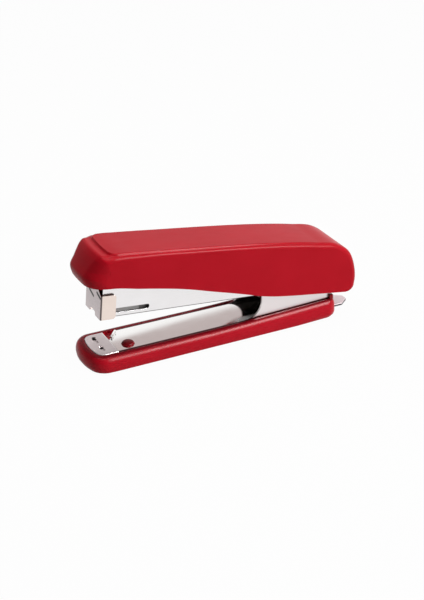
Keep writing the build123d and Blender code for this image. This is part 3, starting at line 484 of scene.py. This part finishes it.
def makeFinish(name, row):
    groupName, colour, shade, roughLow, roughHigh, depth, metal, level = row
    material = bpy.data.materials.new(name)
    material.use_nodes = True
    tree = material.node_tree
    shader = tree.nodes["Principled BSDF"]
    shader.inputs["Metallic"].default_value = metal
    shader.inputs["Specular IOR Level"].default_value = level
    group = tree.nodes.new("ShaderNodeGroup")
    group.node_tree = finishGroups[groupName]
    group.inputs["Colour"].default_value = (*colour, 1)
    group.inputs["Shade"].default_value = (*shade, 1)
    group.inputs["Rough Low"].default_value, group.inputs["Rough High"].default_value = roughLow, roughHigh
    bump = tree.nodes.new("ShaderNodeBump")
    bump.inputs["Strength"].default_value = 1.0
    bump.inputs["Distance"].default_value = depth * mm
    colour, rough = group.outputs["Colour"], group.outputs["Roughness"]
    if name in marks:
        addMarks, places = marks[name]
        colour, rough = addMarks(tree, colour, rough, places)
    if name in crowned:
        bow = tree.nodes.new("ShaderNodeBump")
        bow.inputs["Distance"].default_value = 1.0
        linkNodes(tree, (crownHeight(tree, crowned[name]), bow.inputs["Height"]),
                  (bow.outputs["Normal"], bump.inputs["Normal"]))
    linkNodes(tree, (colour, shader.inputs["Base Color"]), (rough, shader.inputs["Roughness"]),
              (group.outputs["Height"], bump.inputs["Height"]), (bump.outputs["Normal"], shader.inputs["Normal"]))
    return material


finish = {name: makeFinish(name, row) for name, row in finishes.items()}
print("finishes:", ", ".join(finish))


# mesh helpers
def gridFaces(rows, cols, closeRows=False, closeCols=False):
    # quads of a grid whose point (i, j) has the number i * cols + j
    i, j = np.meshgrid(np.arange(rows if closeRows else rows - 1), np.arange(cols if closeCols else cols - 1),
                       indexing="ij")
    a, b = i * cols + j, i * cols + (j + 1) % cols
    c, d = ((i + 1) % rows) * cols + (j + 1) % cols, ((i + 1) % rows) * cols + j
    return np.stack([a, b, c, d], -1).reshape(-1, 4)


def finishPiece(name, mesh, material, body, stands, bevel, bevelSteps, sharp):
    # smooth shading up to the sharp angle, edges broken by the bevel; a piece without a body is left unattached
    mesh.polygons.foreach_set("use_smooth", np.ones(len(mesh.polygons), bool))
    mesh.set_sharp_from_angle(angle=math.radians(sharp))
    mesh.materials.append(material)
    piece = bpy.data.objects.new(name, mesh)
    scene.collection.objects.link(piece)
    if bevel:
        soft = piece.modifiers.new("softEdges", "BEVEL")
        soft.width, soft.segments, soft.limit_method = bevel * mm, bevelSteps, "ANGLE"
        soft.angle_limit = math.radians(sharp)
    if body:
        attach(piece, body)
    if stands:
        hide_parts(*stands)
    return piece


weld = {"made": 0.004, "copied": 0.002, "flat": 0.4}  # joined points in millimetres, joined faces in degrees


def meshPiece(name, points, faces, material, body, stands=(), bevel=0.0, bevelSteps=2, sharp=38):
    mesh = bpy.data.meshes.new(name)
    mesh.from_pydata((np.asarray(points, float).reshape(-1, 3) * mm).tolist(), [], np.asarray(faces).tolist())
    work = bmesh.new()
    work.from_mesh(mesh)
    bmesh.ops.remove_doubles(work, verts=work.verts, dist=weld["made"] * mm)
    bmesh.ops.recalc_face_normals(work, faces=work.faces)
    work.to_mesh(mesh)
    work.free()
    return finishPiece(name, mesh, material, body, stands, bevel, bevelSteps, sharp)


def softened(node, name, material, body, bevel, reshape=None, bevelSteps=2, sharp=30):
    # a merged copy of the node's solid, flat triangles joined again and its edges broken by a small bevel
    work = bmesh.new()
    work.from_mesh(bpy.data.objects[node].data)
    bmesh.ops.remove_doubles(work, verts=work.verts, dist=weld["copied"] * mm)
    bmesh.ops.dissolve_limit(work, angle_limit=math.radians(weld["flat"]), verts=work.verts, edges=work.edges)
    work.verts.index_update()
    points = np.array([v.co[:] for v in work.verts])
    points = points if reshape is None else reshape(points / mm) * mm
    faces = [[v.index for v in f.verts] for f in work.faces]
    work.free()
    mesh = bpy.data.meshes.new(name)
    mesh.from_pydata(points.tolist(), [], faces)
    finishPiece(name, mesh, material, body, (node,), bevel, bevelSteps, sharp)


def tilted(u, y, v, tilt):
    # a place along, across and square to a piece tilted about the hinge pin, in world millimetres
    c, s = math.cos(math.radians(tilt)), math.sin(math.radians(tilt))
    u, y, v = np.broadcast_arrays(u, y, v)
    return np.stack([hinge["x"] + u * c + v * s, y, hinge["z"] - u * s + v * c], -1)


def untilted(p, tilt):
    # the way back: world millimetres turned about the hinge pin to along, across and square
    c, s = math.cos(math.radians(tilt)), math.sin(math.radians(tilt))
    x, z = p[:, 0] - hinge["x"], p[:, 2] - hinge["z"]
    return x * c - z * s, p[:, 1], x * s + z * c


def runAlong(points):
    # length of the line up to each of its points, as the sum of the steps between them
    return np.concatenate([[0], np.cumsum(np.linalg.norm(np.diff(points, axis=0), axis=1))])


def headings(line):
    # unit direction at each point of a line, from its two neighbours
    way = np.gradient(line, axis=0)
    return way / np.linalg.norm(way, axis=1)[:, None]


def curveThrough(points, count):
    # cubic pieces through the points, the slope at each from its two neighbours, spaced by chord length
    p = np.asarray(points, float)
    t = runAlong(p)
    slope = np.gradient(p, t, axis=0)
    x = np.linspace(0, t[-1], count)
    k = np.clip(np.searchsorted(t, x, side="right") - 1, 0, len(t) - 2)
    h = (t[k + 1] - t[k])[:, None]
    f = (x - t[k])[:, None] / h
    return (p[k] * (1 + 2 * f) * (1 - f) ** 2 + slope[k] * h * f * (1 - f) ** 2
            + p[k + 1] * f**2 * (3 - 2 * f) + slope[k + 1] * h * f**2 * (f - 1))


def arcPoints(centre, radius, start, end, count):
    # centre plus radius times cosine and sine of angles spread evenly from start to end
    a = np.radians(np.linspace(start, end, count))
    return np.stack([centre[0] + radius * np.cos(a), centre[1] + radius * np.sin(a)], 1)


def smoothStep(x):
    # nought to one with level ends: three x squared less two x cubed
    x = np.clip(x, 0, 1)
    return x * x * (3 - 2 * x)


# moulded cover: side path from the foot of the nose over the crown to the tail, in the cover's frame; spacing is the
# distance between stations at each run along the path, the last two counted from the tail's end
cover = {"half": 14.2, "wall": 2.0, "bevel": 0.3,
         "path": [(-121.3, 5.2), (-122.0, 6.7), (-122.48, 8.2), (-122.5, 9.3), (-122.1, 10.5), (-121.3, 12.4),
                  (-119.85, 15.8), (-118.5, 18.2), (-116.8, 19.9), (-114.3, 20.75), (-111, 21.15), (-100, 21.55),
                  (-80, 21.97), (-60, 22.35), (-45, 22.5), (-30, 22.4), (-18, 22.02), (-9, 21.5), (1.9, 20.45),
                  (9.2, 16.65), (13.8, 9.3), (15.6, 3.0), (15.8, -0.5)],
         "lower": [(-121.3, 5.2), (-116, 5.75), (-113.5, 6.0), (-98.3, 5.25), (-88.2, 4.7), (-79.3, 4.0), (-73.3, 3.3),
                   (-61, 1.4), (-48.4, -0.45), (-42, -1.5), (-35.5, -2.6), (-29, -3.2), (-20, -3.48), (-8, -3.5),
                   (16, -3.5)],
         "cornerRound": [(0, 8.0), (8, 7.4), (17, 4.4), (21, 3.1), (26, 2.9), (45, 2.2), (120, 2.1), (140, 2.6),
                         (165, 3.4)],
         "leastRound": 0.8, "turn": (6.5, 22.0), "lead": 1.0, "leadFade": 20.0, "climbRun": 7.0,
         "tail": 15.8, "tailRound": 3.0, "tailFrom": -10.0, "heel": (8.0, 2.0, 0.4),
         "bow": 75.0, "bowFrom": 6.0, "bowFade": 34.0,
         "panelStart": 20.3, "panelHalf": 12.0, "panelCorner": 3.4, "panelRise": 0.85, "panelEdge": 0.6,
         "panelFade": (-70.0, 25.0), "panelLead": (5.0, 4.0), "panelSide": 2.2,
         "spacingAt": (0, 22, 34, 110, 125), "spacingTail": 6.0, "spacing": (0.35, 0.35, 1.1, 1.6, 0.8, 0.6, 0.35),
         "pathPoints": 1400, "heelPoints": 40, "lowerPoints": 400, "wallSteps": 12, "cornerSteps": 24,
         "strip": (0.86, 9, 30)}


def coverPath(c):
    # a curve from chin over crown and down the tail, then an arc under the tail's foot, cut into uneven stations
    curve = curveThrough(c["path"], c["pathPoints"])
    foot = curve[-1]
    heel = arcPoints((foot[0] - c["tailRound"], foot[1]), c["tailRound"], 0, -90, c["heelPoints"])[1:]
    path = np.concatenate([curve, heel])
    run = runAlong(path)
    spacing = np.interp(run, [*c["spacingAt"], run[-1] - c["spacingTail"], run[-1]], c["spacing"])
    step = np.concatenate([[0], np.cumsum(np.diff(run) / spacing[1:])])
    station = np.interp(np.linspace(0, step[-1], int(step[-1]) + 2), step, run)
    at = np.stack([np.interp(station, run, path[:, k]) for k in (0, 1)], 1)
    heading = np.degrees(np.unwrap(np.arctan2(np.gradient(at[:, 1], station), np.gradient(at[:, 0], station))))
    return at, station, heading


def coverSkin(c, inset):
    # section carried along the path: side wall from the lower edge, quarter round, top strip, quarter round, side
    # wall; inset draws the whole section in along a way that is level at both feet and straight down on the crown
    at, run, heading = coverPath(c)
    begin, end = c["turn"]
    crown = np.interp(end, run, heading) - 90
    inward = np.where(run < end, crown * smoothStep((run - begin) / (end - begin)), heading - 90)
    inward = np.radians(np.clip(inward, -180, 0))
    way = np.stack([np.cos(inward), np.sin(inward)], 1)
    rounds = np.interp(run, *np.array(c["cornerRound"]).T)
    half, radius = c["half"] - inset, np.maximum(rounds - inset, c["leastRound"])
    # lower edge that each station's side wall runs down to
    low = curveThrough(c["lower"], c["lowerPoints"])
    tailStart = np.searchsorted(at[:, 0], c["tailFrom"])
    foot, after = at[0, 0] + rounds[0], np.interp(end, run, at[:, 0]) + c["lead"]
    ahead = at[:, 0] + c["lead"] * np.exp(-(run - end) / c["leadFade"])
    lowU = np.where(run < end, foot + (after - foot) * smoothStep(run / end), ahead)
    part = np.clip((run - run[tailStart]) / (run[-1] - run[tailStart]), 0, 1)
    tailward = c["tail"] - c["tailRound"] - rounds[-1] - lowU[tailStart]
    lowU = np.where(run > run[tailStart], lowU[tailStart] + part * tailward, lowU)
    lowV = np.interp(lowU, low[:, 0], low[:, 1])
    # the wall thins out under the tail, to pass the collar when the cover is open
    thinFrom, thinTo, thin = c["heel"]
    at = at + (inset * np.interp(run, [run[-1] - thinFrom, run[-1] - thinTo], [1, thin]))[:, None] * way
    # columns: 0 to 1 down each wall, angle round each corner, share of the half width over the strip
    wall = np.linspace(1, 0, c["wallSteps"] + 1)[:-1]
    a = np.radians(np.linspace(90, 0, c["cornerSteps"] + 1)[:-1])
    border, dense, sparse = c["strip"]
    share = np.unique(np.concatenate([np.linspace(-1, -border, dense), np.linspace(-border, border, sparse),
                                      np.linspace(border, 1, dense)]))
    edge = at + radius[:, None] * way
    # round each corner the chin's foot climbs to where the side's lower edge begins
    climb = (lowV[0] - edge[0, 1]) * smoothStep(1 - run / c["climbRun"])
    edge[:, 1] += climb
    u0 = edge[:, None, 0] + (lowU - edge[:, 0])[:, None] * wall
    v0 = edge[:, None, 1] + (lowV - edge[:, 1])[:, None] * wall
    dip = radius[:, None] * (1 - np.cos(a))
    u1 = at[:, None, 0] + dip * way[:, None, 0]
    v1 = at[:, None, 1] + dip * way[:, None, 1] + climb[:, None] * smoothStep(1 - np.cos(a))
    y1 = half - radius[:, None] + radius[:, None] * np.sin(a)
    y2 = (half - radius)[:, None] * share
    u2, v2 = at[:, None, 0] + 0 * y2, at[:, None, 1] + 0 * y2
    u = np.concatenate([u0, u1, u2, u1[:, ::-1], u0[:, ::-1]], 1)
    v = np.concatenate([v0, v1, v2, v1[:, ::-1], v0[:, ::-1]], 1)
    y = np.concatenate([-half + 0 * u0, -y1, y2, y1[:, ::-1], half + 0 * u0], 1)
    if inset == 0:
        # raised panel: a step inside a rounded outline, fading out towards the rear
        inside = run[:, None] - c["panelStart"] + 0 * y
        q = np.stack([c["panelCorner"] - inside, np.abs(y) - c["panelHalf"] + c["panelCorner"]], -1)
        away = np.linalg.norm(np.maximum(q, 0), axis=-1) + np.minimum(q.max(-1), 0) - c["panelCorner"]
        rise = smoothStep(0.5 - away / c["panelEdge"])
        fade = smoothStep((u - c["panelFade"][0]) / (c["panelFade"][1] - c["panelFade"][0]))
        before, length = c["panelLead"]
        lead = smoothStep((run - c["panelStart"] + before) / length)[:, None]
        drop = c["panelRise"] * (1 - rise) * (1 - fade) * lead * smoothStep((half - np.abs(y)) / c["panelSide"])
        u, v = u + drop * way[:, None, 0], v + drop * way[:, None, 1]
    # the nose is bowed: its middle stands further forward than its sides
    sag = c["bow"] - np.sqrt(c["bow"] ** 2 - y**2)
    u = u + sag * smoothStep(1 - (u - c["path"][0][0] - c["bowFrom"]) / c["bowFade"])
    return tilted(u, y, v, hinge["coverTilt"])


def makeCover(c):
    outer, inner = coverSkin(c, 0.0), coverSkin(c, c["wall"])
    rows, cols = outer.shape[:2]
    count = rows * cols
    skin = gridFaces(rows, cols)
    # rim: the border of the outer skin joined to the border of the inner one
    number = np.arange(count).reshape(rows, cols)
    border = np.concatenate([number[0, :-1], number[:-1, -1], number[-1, :0:-1], number[:0:-1, 0]])
    rim = np.stack([border, np.roll(border, -1), np.roll(border, -1) + count, border + count], 1)
    faces = np.concatenate([skin, skin[:, ::-1] + count, rim])
    points = np.concatenate([outer.reshape(-1, 3), inner.reshape(-1, 3)])
    meshPiece("coverShell", points, faces, finish["coverRed"], "cover", ("top_cover",), c["bevel"],
              bevelSteps=3, sharp=50)
    print("cover:", rows, "stations of", cols)


makeCover(cover)

# screw bosses under the crown
bosses = {"places": (-88.0, -46.0), "foot": 13.4, "top": 21.2, "outer": 3.2, "bore": 1.35, "flare": 0.9,
          "flareBend": 0.3, "chamfer": 0.3, "sides": 40}


def makeBoss(name, place, b):
    # ring profile turned once round the boss: up the bore, over, down the outside with a flared root
    bore, outer, foot, top, flare, chamfer = (b[k] for k in ("bore", "outer", "foot", "top", "flare", "chamfer"))
    bend = b["flareBend"] * flare
    profile = np.array([(bore, top), (bore, foot), (outer - chamfer, foot), (outer, foot + chamfer),
                        (outer, top - 2 * flare), (outer + bend, top - flare), (outer + flare, top)])
    turn = roundAngles(b["sides"])
    u = place + np.outer(np.cos(turn), profile[:, 0])
    points = tilted(u, np.outer(np.sin(turn), profile[:, 0]), profile[:, 1], hinge["coverTilt"])
    meshPiece(name, points, gridFaces(*u.shape, True, True), finish["coverRed"], "cover", sharp=40)


for k, place in enumerate(bosses["places"]):
    makeBoss(f"coverBoss{k + 1}", place, bosses)

# pusher spring: wire wound round the rod, its end turns closed; the closed pitch is in wire thicknesses
coil = {"start": -93.4, "end": -40.3, "w": 5.6, "radius": 1.75, "wire": 0.225, "turns": 20, "closed": 1.5,
        "closedPitch": 1.02, "held": 0.6, "steps": 40, "blur": 25, "sides": 8}


def makeCoil(c):
    # circle carried along a helix; the turn angle runs evenly and the advance is slow in the closed end turns
    turn = np.linspace(0, c["turns"], c["turns"] * c["steps"] + 1)
    tight = 2 * c["wire"] * c["closedPitch"]
    free = (c["end"] - c["start"] - 2 * c["closed"] * tight) / (c["turns"] - 2 * c["closed"])
    rate = np.where((turn < c["closed"]) | (turn > c["turns"] - c["closed"]), tight, free)
    rate = np.convolve(np.pad(rate, c["blur"] // 2, mode="edge"), np.ones(c["blur"]) / c["blur"], mode="valid")
    along = np.concatenate([[0], np.cumsum((rate[1:] + rate[:-1]) / 2 * np.diff(turn))])
    along = c["start"] + along * (c["end"] - c["start"]) / along[-1]
    a = 2 * np.pi * turn
    line = np.stack([along, c["radius"] * np.cos(a), c["w"] + c["radius"] * np.sin(a)], 1)
    out = np.stack([0 * a, np.cos(a), np.sin(a)], 1)
    side = np.cross(headings(line), out)
    b = roundAngles(c["sides"])[None, :, None]
    ring = line[:, None] + c["wire"] * (np.cos(b) * out[:, None] + np.sin(b) * side[:, None])
    ring = np.concatenate([line[:1, None].repeat(c["sides"], 1), ring, line[-1:, None].repeat(c["sides"], 1)])
    points = tilted(ring[..., 0], ring[..., 1], ring[..., 2], hinge["magazineTilt"])
    piece = meshPiece("pusherCoil", points, gridFaces(len(ring), c["sides"], False, True), finish["springSteel"], None,
                      ("pusher_spring",), sharp=60)
    ends = [tilted(s, 0.0, c["w"], hinge["magazineTilt"]) * mm for s in (c["start"] + c["held"], c["end"] - c["held"])]
    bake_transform(piece)


makeCoil(coil)

# leaf springs: points along the middle of each leaf, thickness and half width, and the places where it is held
liftLeaf = {"points": [(59.8, 7.8), (51.4, 7.8), (46.7, 7.9), (43.9, 9.2), (33.2, 15.2), (30.4, 16.45), (28.0, 16.75),
                       (26.3, 16.7), (24.8, 16.0), (24.0, 14.9)],
            "thick": 0.6, "half": 4.0, "held": ((46.4, 0.0, 8.0), (29.4, 0.0, 16.6)), "stations": 120, "sides": 24}
pressLeaf = {"points": [(-66.0, 12.15), (-60.0, 12.15), (-55.5, 11.7), (-46.5, 8.9), (-39.5, 6.4), (-36.3, 5.85),
                        (-34.4, 6.1), (-32.6, 7.6)],
             "thick": 0.5, "half": 3.5, "held": ((-58.0, 0.0, 12.0), (-38.0, 0.0, 6.0)), "stations": 120, "sides": 24}


def makeLeaf(name, leaf, world, stands):
    # rounded strip: a flat section with rounded edges carried along a smooth side line
    line, sides = curveThrough(leaf["points"], leaf["stations"]), leaf["sides"]
    way = headings(line)
    up = np.stack([-way[:, 1], way[:, 0]], 1)
    a, r = roundAngles(sides), leaf["thick"] / 2
    across = np.sign(np.cos(a)) * (leaf["half"] - r) + r * np.cos(a)
    high = r * np.sin(a)
    grid = line[:, None] + high[None, :, None] * up[:, None]
    grid = np.concatenate([line[:1, None].repeat(sides, 1), grid, line[-1:, None].repeat(sides, 1)])
    y = np.concatenate([0 * across[None], np.repeat(across[None], len(line), 0), 0 * across[None]])
    points = world(grid[..., 0], y, grid[..., 1])
    piece = meshPiece(name, points, gridFaces(len(grid), sides, False, True), finish["springSteel"], None,
                      (stands,), sharp=50)
    start, end = (tuple(world(*place) * mm) for place in leaf["held"])
    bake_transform(piece)


makeLeaf("liftLeaf", liftLeaf, lambda x, y, z: np.stack([x, y, z], -1), "lift_spring")
makeLeaf("pressLeaf", pressLeaf, lambda u, y, v: tilted(u, y, v, hinge["coverTilt"]),
         "press_spring")
print("springs wound and bent")

# moulded base in world millimetres: outlines of shell and tray, heights, lean of the side at four places, the rim's
# climb, counts of rings round foot, rim and lip; the collar is the wall round the rear end of the tray
base = {"front": -64.3, "rear": 64.3, "half": 14.4, "taper": 0.9, "bows": (28.0, 25.0), "corners": (8.0, 6.2),
        "tray": (-60.05, 60.15), "trayHalf": 10.1, "trayBows": (30.0, 900.0), "trayCorners": (3.6, 0.4),
        "top": 7.6, "waist": 2.55, "waistLean": 0.3, "foot": 0.25, "footRound": 0.5, "ledge": 1.2, "under": 1.95,
        "floor": 6.58, "lip": 0.3, "lipFrom": 20, "fullness": 2.4, "rimTo": 88, "rimWidth": 4.3, "rings": (6, 30, 5),
        "lean": (0.75, 0.2, 0.2, 1.3), "leanAt": (-52.3, 40.0),
        "rise": ((-5, 10, 58, 61.5, 64.3), (0, 0.25, 1.6, 0.9, 0)),
        "collar": {"start": 58.4, "half": 11.2, "inset": 1.2, "corner": 3.0, "top": 11.2, "foot": 5.6, "round": 0.55,
                   "fall": (59.0, 63.15), "pole": 6.0, "steps": 7}}
outlineSteps = {"bow": 40, "corner": 20, "side": 90}


def roundOutline(front, rear, half, bows, corners):
    # closed loop: front arc, corner, side, corner, rear arc and the same back, each with a fixed number of points
    def bowEnd(bow, corner):
        y = half - corner
        return math.sqrt((bow - corner) ** 2 - y**2), math.atan2(y, math.sqrt((bow - corner) ** 2 - y**2))
    reach0, turn0 = bowEnd(bows[0], corners[0])
    reach1, turn1 = bowEnd(bows[1], corners[1])
    x0, x1 = front + bows[0] - reach0, rear - bows[1] + reach1
    bow, corner, side = (outlineSteps[k] + 1 for k in ("bow", "corner", "side"))
    a, b = np.linspace(-turn0, turn0, bow)[:-1], np.linspace(turn0, np.pi / 2, corner)[:-1]
    c, d = np.linspace(np.pi / 2, turn1, corner)[:-1], np.linspace(turn1, -turn1, bow)[:-1]
    there, back = np.linspace(x0, x1, side)[:-1], np.linspace(x1, x0, side)[:-1]
    corner0 = np.stack([x0 - corners[0] * np.cos(b), half - corners[0] + corners[0] * np.sin(b)], 1)
    corner1 = np.stack([x1 + corners[1] * np.cos(c), half - corners[1] + corners[1] * np.sin(c)], 1)
    return np.concatenate([np.stack([front + bows[0] - bows[0] * np.cos(a), bows[0] * np.sin(a)], 1), corner0,
                           np.stack([there, 0 * there + half], 1), corner1,
                           np.stack([rear - bows[1] + bows[1] * np.cos(d), bows[1] * np.sin(d)], 1),
                           corner1[::-1] * (1, -1), np.stack([back, 0 * back - half], 1), corner0[::-1] * (1, -1)])


def drawnIn(loop, distance):
    # each point moved square to the loop towards its inside
    way = np.roll(loop, -1, 0) - np.roll(loop, 1, 0)
    way = way / np.linalg.norm(way, axis=1)[:, None]
    return loop + np.asarray(distance).reshape(-1, 1) * np.stack([way[:, 1], -way[:, 0]], 1)


def narrowed(loop, b):
    # the width shrinks evenly from the front to the rear, there by the taper on each side
    part = np.clip((loop[:, 0] - b["front"]) / (b["rear"] - b["front"]), 0, 1)
    return np.stack([loop[:, 0], loop[:, 1] * (1 - part * b["taper"] / b["half"])], 1)


def makeBase(b):
    # rings from the middle of the underside over the foot, the side and the round rim into the tray
    outer = narrowed(roundOutline(b["front"], b["rear"], b["half"], b["bows"], b["corners"]), b)
    tray = roundOutline(*b["tray"], b["trayHalf"], b["trayBows"], b["trayCorners"])
    lean = np.interp(outer[:, 0], [b["front"], *b["leanAt"], b["rear"]], b["lean"])
    ledge = drawnIn(outer, lean + b["ledge"])
    top = b["top"] + np.interp((outer + tray)[:, 0] / 2, *b["rise"])
    rings = [(ledge * (1, 0), b["under"]), (ledge, b["under"]), (ledge, b["foot"])]
    footRings, rimRings, lipRings = b["rings"]
    for a in np.radians(np.linspace(0, 90, footRings)):
        side = drawnIn(outer, lean + b["footRound"] * (1 - np.sin(a)))
        rings.append((side, b["foot"] + b["footRound"] * (1 - np.cos(a))))
    rings.append((drawnIn(outer, lean * b["waistLean"]), 0.5 * (b["foot"] + b["waist"])))
    # quarter of a full ellipse from the waist to the lip of the tray, then a small round down into the tray
    power = 2 / b["fullness"]
    for a in np.radians(np.linspace(0, b["rimTo"], rimRings)):
        share = (1 - np.cos(a) ** power) * (1 - b["lip"] / b["rimWidth"])
        rings.append((outer + share * (tray - outer), b["waist"] + (top - b["waist"]) * np.sin(a) ** power))
    for a in np.radians(np.linspace(b["lipFrom"], 90, lipRings)):
        rings.append((drawnIn(tray, -b["lip"] * (1 - np.sin(a))), top - b["lip"] * (1 - np.cos(a))))
    rings += [(tray, b["floor"]), (tray * (1, 0), b["floor"])]
    points = np.stack([np.column_stack([ring, z + 0 * ring[:, 0]]) for ring, z in rings])
    meshPiece("baseShell", points, gridFaces(len(rings), len(outer), False, True), finish["baseRed"], "base",
              ("base_shell",), sharp=42)


def makeCollar(b, k):
    # round-topped section between the drawn-in outline and the tray, its points ordered by angle about a pole ahead
    line = roundOutline(b["front"], b["rear"] - k["inset"], k["half"], b["bows"], (b["corners"][0], k["corner"]))
    outer = line[line[:, 0] > k["start"]]
    outer = outer[np.argsort(np.arctan2(outer[:, 1], outer[:, 0] - k["start"] + k["pole"]))]
    outer = np.concatenate([[(k["start"], outer[0, 1])], outer, [(k["start"], outer[-1, 1])]])
    inner = np.stack([np.minimum(outer[:, 0], b["tray"][1]), np.clip(outer[:, 1], -b["trayHalf"], b["trayHalf"])], 1)
    way = inner - outer
    width = np.linalg.norm(way, axis=1)[:, None]
    way = way / width
    rounds = [(k["round"] * (1 - np.cos(t)), k["top"] - k["round"] * (1 - np.sin(t)))
              for t in np.radians(np.linspace(0, 90, k["steps"]))]
    section = [(0 * width, k["foot"])] + [(d + 0 * width, z) for d, z in rounds]
    section += [(width - d, z) for d, z in rounds[::-1]] + [(width, k["foot"])]
    grid = np.stack([np.concatenate([outer + d * way, np.full((len(outer), 1), z)], 1) for d, z in section], 1)
    # its height falls off towards the rear along a quarter ellipse
    back = np.clip((grid[..., 0] - k["fall"][0]) / (k["fall"][1] - k["fall"][0]), 0, 1)
    grid[..., 2] = k["foot"] + (grid[..., 2] - k["foot"]) * np.sqrt(1 - back**2)
    middle = grid[[0, -1]].mean(1, keepdims=True).repeat(grid.shape[1], 1)
    grid = np.concatenate([middle[:1], grid, middle[1:]])
    # the collar is finished in the base's red painted darker as shade
    meshPiece("tailCollar", grid, gridFaces(*grid.shape[:2], False, True), finish["shadedBaseRed"], "base",
              sharp=50)


makeBase(base)
makeCollar(base, base["collar"])

# heat-staked stud that holds the floor plate down; crown: a radius, the fall there and the fall at the shoulder
stud = {"place": (-43.0, -4.7), "radius": 2.9, "foot": 6.5, "top": 8.8, "round": 1.15, "shoulder": 78,
        "crown": (0.9, 0.03, 0.1), "steps": 10, "sides": 48}


def makeStud(s):
    # side line turned once round: up the shank, round the shoulder, slightly crowned to the middle
    crownRadius, crownFall, shoulderFall = s["crown"]
    a = np.radians(np.linspace(0, s["shoulder"], s["steps"]))
    shoulder = s["top"] - shoulderFall - s["round"] * (1 - np.sin(a))
    r = np.concatenate([[s["radius"]], s["radius"] - s["round"] * (1 - np.cos(a)), [crownRadius, 0.0]])
    z = np.concatenate([[s["foot"]], shoulder, [s["top"] - crownFall, s["top"]]])
    turn = roundAngles(s["sides"])
    x, y = s["place"][0] + np.outer(np.cos(turn), r), s["place"][1] + np.outer(np.sin(turn), r)
    # the stud is finished in the base's red painted darker as shade
    meshPiece("plateStud", np.stack([x, y, z + 0 * x], -1), gridFaces(*x.shape, True), finish["shadedBaseRed"], "base",
              sharp=50)


makeStud(stud)
print("base moulded")

# folded and moulded solids that keep the shape of their nodes, edges broken: node, piece, finish, body, slot, bevel
kept = [("base_plate", "floorPlate", "brightPlate", "base", "bright_plate", 0.10),
        ("anvil_plate", "anvil", "satinAnvil", "base", "satin_anvil", 0.0),
        ("remover_blade", "removerBlade", "bladeSteel", "base", "sheet_steel", 0.08),
        ("magazine_channel", "magazineChannel", "channelSteel", "magazine", "sheet_steel", 0.16),
        ("head_plate", "headPlate", "headSteel", "magazine", "sheet_steel", 0.16),
        ("staple_rail", "stapleRail", "railSteel", "magazine", "plain_steel", 0.15),
        ("rail_block", "railBlock", "plainSteel", "magazine", "plain_steel", 0.2),
        ("pusher", "pusherBlock", "pusherPlastic", "pusher", "pusher_plastic", 0.2),
        ("press_arm", "pressArm", "sheetSteel", "cover", "sheet_steel", 0.12),
        ("driver_blade", "driverBlade", "plainSteel", "cover", "plain_steel", 0.08),
        ("sole_pad", "solePad", "soleRubber", "base", "sole_rubber", 0.0)]
# small hardware that stays as it is
hardware = ("tail_rivets", "hinge_pin", "block_rivet", "spring_rod", "hinge_bush", "arm_rivets", "cover_screws")

# small reshapes, in the piece's frame for lip and window and in world millimetres for the sweep
lip = {"across": (7.4, 7.6), "from": 6.65, "over": 1.5, "below": 8.3, "fall": 1.1}
window = {"along": (-111, -80), "half": 0.9, "grow": 1.22}
sweep = {"corner": (22.4, 7.5), "slack": (0.05, 0.01), "across": 8.8, "from": 15.0, "below": 13.4, "grow": 1.5}


def thinLips(p):
    # upper edge of each head flange slopes down to the magazine's wall
    s, y, v = untilted(p, hinge["magazineTilt"])
    inner = (np.abs(y) < lip["across"][1]) & (np.abs(y) > lip["across"][0]) & (v < lip["below"])
    v = v - inner * lip["fall"] * np.clip((v - lip["from"]) / lip["over"], 0, 1)
    return tilted(s, y, v, hinge["magazineTilt"])


def tallWindow(p):
    # window in each wall a little taller
    s, y, v = untilted(p, hinge["magazineTilt"])
    inside = (np.abs(v) < window["half"]) & (s < window["along"][1]) & (s > window["along"][0])
    return tilted(s, y, np.where(inside, v * window["grow"], v), hinge["magazineTilt"])


def longSweeps(p):
    # the round at the foot of each ear's front edge, half as large again
    x, y, z = p.T
    x0, z0 = sweep["corner"]
    foot = (x < x0 + sweep["slack"][0]) & (z > z0 - sweep["slack"][1]) & (np.abs(y) > sweep["across"])
    grow = np.where(foot & (x > sweep["from"]) & (z < sweep["below"]), sweep["grow"], 1.0)
    return np.stack([x0 - (x0 - x) * grow, y, z0 + (z - z0) * grow], 1)


reshapes = {"headPlate": thinLips, "floorPlate": longSweeps, "magazineChannel": tallWindow}
for node, name, look, body, slot, bevel in kept:
    softened(node, name, finish[look], body, bevel, reshapes.get(name))
for node in hardware:
    bpy.data.objects[node].material_slots[0].material = finish["plainSteel"]
print("pieces finished:", len(kept) + len(hardware))
